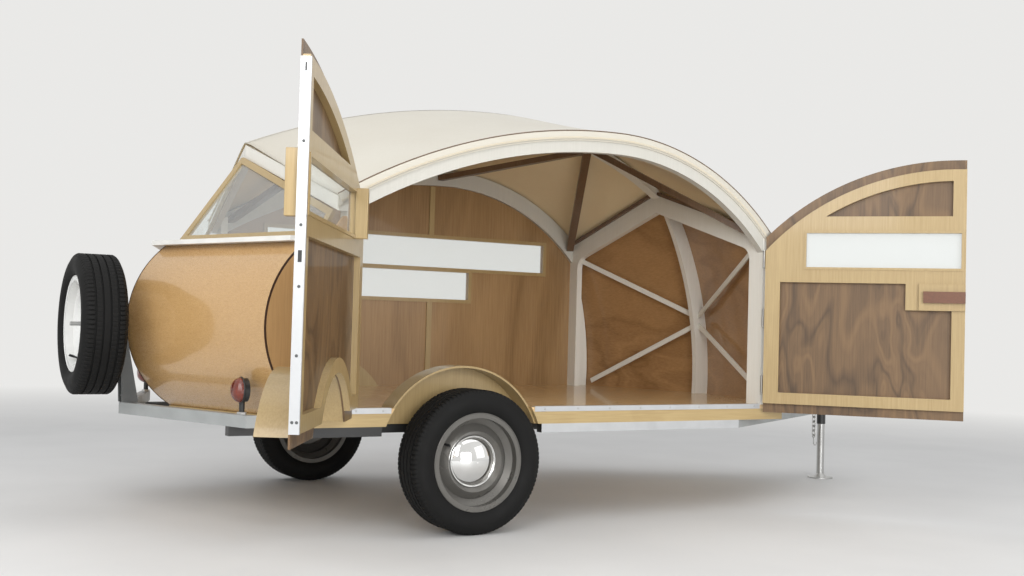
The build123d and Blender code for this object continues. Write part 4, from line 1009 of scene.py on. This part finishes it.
@dataclass
class Wheels(Assembly):
    """Road wheels and spare wheel.

    A line of bead or tread holds radius, half width, depth of the shoulder slots and depth of the fine cuts. A
    ring has its radius, the radius of its wire and its height on the axle.
    """

    finishes = {
        TYRE: "right_tyre left_tyre spare_tyre",
        SILVER_RIM_SHADED: "right_rim left_rim",
        WHITE_RIM: "spare_rim",
        BRIGHT_CAP: "right_hubcap left_hubcap",
        ZINC: "spare_nut",
        DARK_STEEL: "spare_arm",
        BLACK_STEEL: "axle",
    }
    pitches: int = 96
    steps: int = 5
    slot_step: int = 0
    cut_step: int = 3
    slot: float = 0.0038
    bead: tuple[Row, ...] = ((0.1904, 0.0696, 0.0, 0.0), (0.2064, 0.0696, 0.0, 0.0))
    flank: Line = ((0.2064, 0.0756), (0.2462, 0.0945), (0.286, 0.0825))
    shoulder: Line = ((0.286, 0.0825), (0.298, 0.0753), (0.302, 0.068))
    tread: tuple[Row, ...] = (
        (0.302, 0.0505, 0.0038, 0.0), (0.2952, 0.0495, 0.0, 0.0), (0.2952, 0.0425, 0.0, 0.0),
        (0.302, 0.0415, 0.0, 0.0012), (0.302, 0.0195, 0.0, 0.0012), (0.2952, 0.0185, 0.0, 0.0),
        (0.2952, 0.0125, 0.0, 0.0), (0.302, 0.0115, 0.0, 0.0), (0.302, 0.0, 0.0, 0.0),
    )
    stem: Line = ((0.172, 0.030), (0.163, 0.052), (0.155, 0.074))
    stem_radius: float = 0.0042
    stem_cap: float = 0.0055
    lip: Point = (0.2045, 0.0026, 0.0755)
    cap_ring: Point = (0.1056, 0.0028, 0.0285)
    lugs: int = 5
    lug_circle: float = 0.056
    lug_height: float = 0.0262
    lug_radius: float = 0.009
    road_spot: Point = (0.0, 0.922, 0.302)
    spare_spot: Point = (-1.3661, 0.0, 0.831)
    stud_x: float = -1.372
    web: Line = ((-1.236, 0.4955), (-1.165, 0.4955), (-1.224, 0.790), (-1.252, 0.790))
    web_faces: Flat = (0.027, 0.033)

    def tyre(self) -> Shape:
        """Turn a tyre with ribs, grooves, shoulder slots and fine cuts.

        Returns:
            The tyre about its own axle.
        """
        flank = [(r, w, 0.0, 0.0) for r, w in arc(*self.flank, 14)]
        corner = [(r, w, self.slot, 0.0) for r, w in arc(*self.shoulder, 6)[1:]]
        half = [*self.bead, *flank, *corner, *self.tread]
        profile = half + [(r, -w, slot, cut) for r, w, slot, cut in reversed(half[:-1])]
        rows = []
        for i, angle in enumerate(round_turn(self.pitches * self.steps)):
            slotted, cutting = (i % self.steps == step for step in (self.slot_step, self.cut_step))
            rows.append([polar(r - slot * slotted - cut * cutting, angle, w) for r, w, slot, cut in profile])
        return Shape.grid(rows, True, True)

    def valve(self, degrees: float) -> Shape:
        """Draw a rubber valve stem that leans out of the rim.

        Args:
            degrees: its place round the rim.

        Returns:
            The stem and its cap.
        """
        path = [polar(r, radians(degrees), z) for r, z in self.stem]
        cap = Shape.tube([path[2], path[1]], self.stem_cap, 12)
        return Shape.tube(path, self.stem_radius, 12).join(cap)

    def lug_seats(self) -> Shape:
        """Dark discs in a circle about the axle: painted shade that stands for the lug holes."""
        spots = [polar(self.lug_circle, angle, self.lug_height) for angle in round_turn(self.lugs)]
        return Shape.many(Shape.screw(self.lug_radius), map(Matrix.Translation, spots))

    def build(self) -> None:
        """Put a detailed tyre, a valve and trim on each wheel, and webs on the arm of the spare."""
        self.repaint("spare_arm", ZINC, lambda spot: spot.x < self.stud_x)
        low, high = self.web_faces
        webs = Shape.plate(self.web, -high, -low).join(Shape.plate(self.web, low, high))
        self.add("spare_arm_webs", webs, DARK_STEEL)
        x, y, z = self.road_spot
        places = (
            ("right", Body.RIGHT_WHEEL, (x, -y, z), "X", 90, 152),
            ("left", Body.LEFT_WHEEL, (x, y, z), "X", -90, 40),
            ("spare", Body.TRAILER, self.spare_spot, "Y", -90, 152),
        )
        tread = self.tyre()
        for name, body, spot, axis, turn, valve in places:
            where = Matrix.Translation(spot) @ Matrix.Rotation(radians(turn), 4, axis)
            # The road wheels' rim lips take the silver paint with its painted shade.
            lip_paint = WHITE_RIM if body is Body.TRAILER else SILVER_RIM_SHADED
            self.add(f"{name}_tread", tread, TYRE, body, where, (f"{name}_tyre",))
            self.add(f"{name}_valve", self.valve(valve), VALVE, body, where)
            self.add(f"{name}_rim_lip", Shape.ring(*self.lip), lip_paint, body, where)
            if body is Body.TRAILER:
                # The spare's lug holes are drawn as dark discs, a painted shade in the holes.
                self.add(f"{name}_lug_seats", self.lug_seats(), DARK_STEEL, body, where)
            else:
                self.add(f"{name}_cap_ring", Shape.ring(*self.cap_ring), BRIGHT_CAP, body, where)


@dataclass
class Doors(Assembly):
    """The two open doors and the hinges on the posts. The doors are laid out shut and then swung open."""

    finishes = {
        DOOR_PLY: "front_door_skin rear_door_skin",
        BIRCH: "front_door_frame front_door_latch rear_door_frame rear_door_fender",
        PANE: "front_door_pane rear_door_pane",
        ZINC: "front_door_hinges rear_door_hinges hinge_posts",
        ALUMINIUM: "rear_door_edge",
    }
    front: Matrix = field(default_factory=lambda: swing((1.661, -0.886), 130.9))
    rear: Matrix = field(default_factory=lambda: swing((-0.533, -0.886), -121.8))
    hinge_heights: Point = (0.620, 0.950, 1.240)
    screw_steps: Row = (-0.036, -0.026, 0.026, 0.036)
    leaf_screws: Flat = (1.618, -0.490)
    leaf_y: float = -0.889
    post_screws: Flat = (1.6795, -0.5515)
    post_y: float = -0.877
    hinge_screw: float = 0.0042
    handle_y: float = -0.8418
    edge_bars: tuple[Box, ...] = (
        ((0.7170, -0.8858, 0.530), (0.7186, -0.8558, 1.6665)),
        ((0.7060, -0.8560, 0.530), (0.7172, -0.8535, 1.6665)),
    )
    edge_face: float = 0.7186
    edge_heads: Line = (
        (-0.869, 0.765), (-0.869, 0.972), (-0.869, 1.157), (-0.869, 1.41), (-0.876, 0.566), (-0.862, 0.566),
    )
    edge_screw: float = 0.005
    # Thin black plates in the slots of the edge strip: painted shade inside the openings.
    edge_slots: tuple[Box, ...] = (
        ((0.7184, -0.875, 1.045), (0.7190, -0.863, 1.081)),
        ((0.7184, -0.872, 1.622), (0.7190, -0.866, 1.648)),
    )
    stiles: tuple[tuple[str, Point, Point], ...] = (
        ("outer", (0.672, -0.926, 1.185), (0.702, -0.8862, 1.392)),
        ("inner", (-0.310, -0.8558, 1.190), (-0.280, -0.808, 1.384)),
    )
    latch_plate: Box = ((0.723, -0.8562, 1.033), (0.7245, -0.8440, 1.098))

    def build(self) -> None:
        """Screw the hinges and edge strip on, and add the stiles and the latch."""
        back = self.front.inverted()
        self.repaint("front_door_latch", HANDLE_WOOD, lambda spot: (back @ spot).y > self.handle_y)
        self.hinges()
        edge = Shape.blocks(self.edge_bars)
        self.add("rear_edge_strip", edge, ALUMINIUM, Body.REAR_DOOR, self.rear, ("rear_door_edge",))
        spots = [facing((self.edge_face, y, z), (1, 0, 0)) for y, z in self.edge_heads]
        heads = Shape.many(Shape.screw(self.edge_screw), spots)
        self.add("edge_strip_screws", heads, DARK_STEEL, Body.REAR_DOOR, self.rear)
        # Black plates for the slots of the edge strip, a painted shade inside the openings.
        self.add("edge_strip_slots", Shape.blocks(self.edge_slots), BLACK_STEEL, Body.REAR_DOOR, self.rear)
        for side, low, high in self.stiles:
            stile = Shape.block(low, high)
            self.add(f"window_stile_{side}", stile, BIRCH, Body.REAR_DOOR, self.rear, soften=0.002)
        plate = Shape.block(*self.latch_plate)
        self.add("front_latch_plate", plate, ZINC, Body.FRONT_DOOR, self.front)

    def hinges(self) -> None:
        """Screw the hinge leaves to the doors and to the posts."""
        out = (0, -1, 0)
        rows = [z + step for z in self.hinge_heights for step in self.screw_steps]
        head = Shape.screw(self.hinge_screw)
        doors = ((Body.FRONT_DOOR, self.front), (Body.REAR_DOOR, self.rear))
        for (body, where), x in zip(doors, self.leaf_screws):
            heads = Shape.many(head, [facing((x, self.leaf_y, z), out) for z in rows])
            self.add(f"{body.value}_hinge_screws", heads, ZINC, body, where)
        posts = [facing((x, self.post_y, z), out) for x in self.post_screws for z in rows]
        self.add("post_hinge_screws", Shape.many(head, posts), ZINC)


@dataclass
class Stern(Assembly):
    """Round stern, rear windows, lamps and beam. A spot has X and Z, and a profile radius and height."""

    finishes = {
        BARREL_PLY: "barrel_right barrel_left",
        LEDGE: "rear_ledge",
        BIRCH: "rear_window_frames",
        PANE: "rear_window_panes",
        LAMP_CUP: "lamp_housings",
        RED_LENS: "lamp_lenses",
        GREY_STEEL: "rear_beam",
        PALE_FRAME: "rear_posts",
    }
    centre: Flat = (-0.7827, 0.8501)
    radius: float = 0.4364
    barrel_end: float = 0.8737
    seam_heights: Flat = (0.482, 1.184)
    seam_steps: int = 48
    seam_radius: float = 0.0021
    lamp_sides: Flat = (-0.75, 0.75)
    lamp_spot: Flat = (-0.9474, 0.591)
    lamp_wall: Line = ((0.0495, -0.006), (0.0495, 0.006))
    lamp_dome: Line = ((0.0495, 0.006), (0.036, 0.026), (0.0, 0.034))
    bezel: Point = (0.0500, 0.0036, -0.0020)
    nut_spot: Flat = (-0.9384, 0.495)
    nut: Line = ((0.0112, 0.010), (0.019, 0.010), (0.020, 0.008), (0.020, 0.0))
    arm_spot: Flat = (-1.2226, 0.525)
    arm_sides: Flat = (-0.018, 0.018)
    arm_slope: Point = (-1, 0, 0.15)
    arm_bolt: float = 0.007

    def build(self) -> None:
        """Line the seam of the stern, give the lamps domed lenses and bezels, and bolt the spare's arm on."""
        for name in ("barrel_right", "barrel_left"):
            self.repaint(name, SEAM, lambda spot: abs(spot.y) > self.barrel_end)
        foot, top = self.seam_heights
        heights = [foot + (top - foot) * i / self.seam_steps for i in range(self.seam_steps + 1)]
        x, middle = self.centre
        line = [(x - sqrt(self.radius ** 2 - (z - middle) ** 2), 0.0, z) for z in heights]
        self.add("stern_seam", Shape.tube(line, self.seam_radius, 8), SEAM)

        dome = Shape.lathe([*self.lamp_wall, *arc(*self.lamp_dome, 12)[1:]], 40)
        lamps = self.pair(self.lamp_spot, self.lamp_sides, (-1, 0, 0))
        self.add("lamp_domes", Shape.many(dome, lamps), RED_LENS, stands_for=("lamp_lenses",))
        self.add("lamp_bezels", Shape.many(Shape.ring(*self.bezel, 48), lamps), LAMP_CUP)
        feet = self.pair(self.nut_spot, self.lamp_sides, UP)
        self.add("lamp_nuts", Shape.many(Shape.lathe(self.nut, 6), feet), ZINC)
        arm = self.pair(self.arm_spot, self.arm_sides, self.arm_slope)
        self.add("spare_arm_bolts", Shape.many(Shape.bolt(self.arm_bolt), arm), ZINC)

    @staticmethod
    def pair(spot: Flat, sides: Flat, way: Point) -> list[Matrix]:
        """Places at one X and Z on both sides, facing a way."""
        return [facing((spot[0], y, spot[1]), way) for y in sides]


@dataclass
class Chassis(Assembly):
    """Steel under the floor, the tongue, the coupler and the jack. An eye or bend has Z and radius."""

    finishes = {
        BLACK_STEEL: "chassis_frame edge_rails jack_sleeve",
        GREY_STEEL: "tongue_frame coupler",
        ZINC: "jack_leg safety_chain",
    }
    bare_rail_x: float = 0.76
    plate_bolts: Line = ((2.74, 2.84), (-0.075, 0.075))
    plate_top: float = 0.458
    neck_bolts: Flat = (3.03, 3.085)
    neck_half: float = 0.032
    neck_z: float = 0.4265
    tongue_bolt: float = 0.0085
    jack_spot: Flat = (2.970, 0.470)
    jack_circle: float = 0.033
    jack_bolts: int = 3
    jack_bolt: float = 0.0045
    hook_spot: Flat = (2.845, -0.0651)
    eye: Flat = (0.2635, 0.009)
    bend: Flat = (0.222, 0.013)
    hook_radius: float = 0.003

    def build(self) -> None:
        """Bolt the tongue together and hang a hook on the chain."""
        self.repaint("edge_rails", ALUMINIUM, lambda spot: spot.x > self.bare_rail_x)
        along, across = self.plate_bolts
        bolts = [facing((x, y, self.plate_top), UP) for x in along for y in across]
        for x in self.neck_bolts:
            bolts += [facing((x, side * self.neck_half, self.neck_z), (0, side, 0)) for side in (-1, 1)]
        self.add("tongue_bolts", Shape.many(Shape.bolt(self.tongue_bolt), bolts), ZINC)
        x, z = self.jack_spot
        reach = self.jack_circle
        angles = [tau * (k + 0.5) / self.jack_bolts for k in range(self.jack_bolts)]
        collar = [facing((x + reach * cos(a), reach * sin(a), z), UP) for a in angles]
        self.add("jack_bolts", Shape.many(Shape.bolt(self.jack_bolt), collar), ZINC)

        x, y = self.hook_spot
        z, r = self.eye
        path = [(x + r * sin(a), y, z + r * cos(a)) for a in self.turns(-150, 180)]
        z, r = self.bend
        path += [(x + r - r * cos(a), y, z - r * sin(a)) for a in self.turns(0, 200)]
        self.add("chain_hook", Shape.tube(path, self.hook_radius), ZINC)

    @staticmethod
    def turns(start: float, end: float, steps: int = 20) -> list[float]:
        """Even angles from one to another, given in degrees and handed back in radians."""
        return [radians(start + (end - start) * i / steps) for i in range(steps + 1)]


@dataclass
class Cabin(Assembly):
    """Floor, walls and frame of the body. A brace has X and Z at the rib and X and Z at the corner."""

    finishes = {
        FLOOR_PLY: "floor_deck",
        BIRCH_LONG: "floor_frame tongue_deck",
        ALUMINIUM: "sill_strips",
        BIRCH: "wheel_wells left_window_trim left_fender",
        PALE_FRAME: "front_portal front_rib front_braces",
        PROW_PLY: "front_panel_right front_panel_left",
        CORNER_PLY: "corner_panels",
        WALL_PLY: "left_wall",
        PANE: "left_panes",
    }
    front_corner_x: float = 1.6
    braces: tuple[Line, ...] = (((1.972, 0.962), (1.685, 1.290)), ((1.976, 0.908), (1.785, 0.552)))
    brace_sides: Flat = (0.0165, 0.774)
    brace_section: Flat = (0.009, 0.028)
    sill_spots: Row = (-0.505, -0.385, *(0.40 + 0.175 * k for k in range(8)))
    sill_face: Flat = (-0.874, 0.5115)
    sill_screw: float = 0.0045

    def build(self) -> None:
        """Screw the sill down, and set the braces of the prow between the rib and the corners."""
        self.repaint("corner_panels", PALE_FRAME, lambda spot: spot.x > self.front_corner_x)
        inner, outer = self.brace_sides
        bars = Shape()
        for side in (-1, 1):
            for (rib_x, rib_z), (x, z) in self.braces:
                start, end = (rib_x, side * inner, rib_z), (x, side * outer, z)
                bars.join(Shape.bar(start, end, UP, self.brace_section))
        self.add("prow_braces", bars, PALE_FRAME, stands_for=("front_braces",), soften=0.001)
        heads = [facing((x, *self.sill_face), (0, -1, 0)) for x in self.sill_spots]
        self.add("sill_screws", Shape.many(Shape.screw(self.sill_screw), heads), ZINC)


@dataclass
class Studio:
    """Camera, lights, floor and backdrop. A light has a name, a place, a size and a power."""

    camera_spot: Point = (-5.6316, -5.3670, 0.4621)
    camera_angles: Point = (30.848, 1.859, 1.622)
    sensor: float = 36.0
    focal_pixels: float = 1201.5
    photo_pixels: float = 1024.0
    aim: Point = (-2.3, 0.0, 0.4)
    lamps: tuple[tuple[str, Point, float, float], ...] = (
        ("key", (-8.5, -4.5, 4.0), 5.0, 330.0),
        ("top", (-2.0, -1.0, 6.0), 7.0, 110.0),
        ("fill", (2.5, -7.0, 3.0), 5.0, 45.0),
        ("front", (-4.6, -9.5, 1.3), 5.0, 540.0),
    )
    floor_half: float = 60.0
    sky: Colour = (0.94, 0.96, 1.0)
    sky_strength: float = 0.45

    def build(self) -> None:
        """Set up everything round the object."""
        self.camera()
        self.lights()
        self.floor()
        self.world()

    def camera(self) -> None:
        """Stand the camera where the photo was taken from."""
        data = bpy.data.cameras.new("camera")
        data.sensor_width = self.sensor
        data.lens = self.focal_pixels / self.photo_pixels * self.sensor
        made = bpy.data.objects.new("camera", data)
        bpy.context.scene.collection.objects.link(made)
        yaw, pitch, roll = (radians(degrees) for degrees in self.camera_angles)
        ahead = Vector((sin(yaw) * cos(pitch), cos(yaw) * cos(pitch), sin(pitch)))
        level = Vector((cos(yaw), -sin(yaw), 0.0))
        over = level.cross(ahead)
        right = cos(roll) * level + sin(roll) * over
        up = cos(roll) * over - sin(roll) * level
        turn = Matrix((right, up, -ahead)).transposed().to_4x4()
        made.matrix_world = Matrix.Translation(self.camera_spot) @ turn
        bpy.context.scene.camera = made
        LOG.info("camera")

    def lights(self) -> None:
        """Large soft lights: behind the camera, over the roof, ahead, and low before the open side."""
        for name, spot, size, power in self.lamps:
            data = bpy.data.lights.new(name, "AREA")
            data.size = size
            data.energy = power
            made = bpy.data.objects.new(name, data)
            made.location = spot
            made.rotation_mode = "QUATERNION"
            made.rotation_quaternion = (Vector(self.aim) - Vector(spot)).to_track_quat("-Z", "Y")
            bpy.context.scene.collection.objects.link(made)
            LOG.info("light %s", name)

    def floor(self) -> None:
        """A wide pale floor."""
        mesh = bpy.data.meshes.new("floor")
        signs = ((-1, -1), (1, -1), (1, 1), (-1, 1))
        corners = [(x * self.floor_half, y * self.floor_half, -ORIGIN.z) for x, y in signs]
        mesh.from_pydata(corners, [], [(0, 1, 2, 3)])
        made = bpy.data.objects.new("floor", mesh)
        bpy.context.scene.collection.objects.link(made)
        made.data.materials.append(FLOOR.material())
        LOG.info("floor")

    def world(self) -> None:
        """A pale backdrop for the eye and a plain soft sky for the light."""
        world = bpy.data.worlds.new("studio")
        world.use_nodes = True
        world.node_tree.nodes.clear()
        graph = Graph(world.node_tree)
        share = graph.node("LightPath", {}, {}, "Is Camera Ray")
        for name in ("Is Glossy Ray", "Is Transmission Ray"):
            ray = graph.node("LightPath", {}, {}, name)
            share = graph.node("Math", {"operation": "MAXIMUM"}, {0: share, 1: ray})
        light = graph.node("Background", {}, {"Color": (*self.sky, 1.0), "Strength": self.sky_strength})
        shown = graph.node("Background", {}, {"Color": (*BACK_TONE, 1.0), "Strength": 1.0})
        mixed = graph.node("MixShader", {}, {0: share, 1: light, 2: shown})
        end = world.node_tree.nodes.new("ShaderNodeOutputWorld")
        world.node_tree.links.new(mixed.socket, end.inputs["Surface"])
        bpy.context.scene.world = world
        LOG.info("world")


def main() -> None:
    """Build the scene round the frame."""
    logging.basicConfig(level=logging.INFO)
    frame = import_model()
    bpy.context.scene.view_settings.view_transform = "Standard"
    for group in (Roof, Wheels, Doors, Stern, Chassis, Cabin):
        assembly = group(frame["nodes"])
        assembly.dress()
        assembly.build()
    Studio().build()


if __name__ == "__main__":
    main()
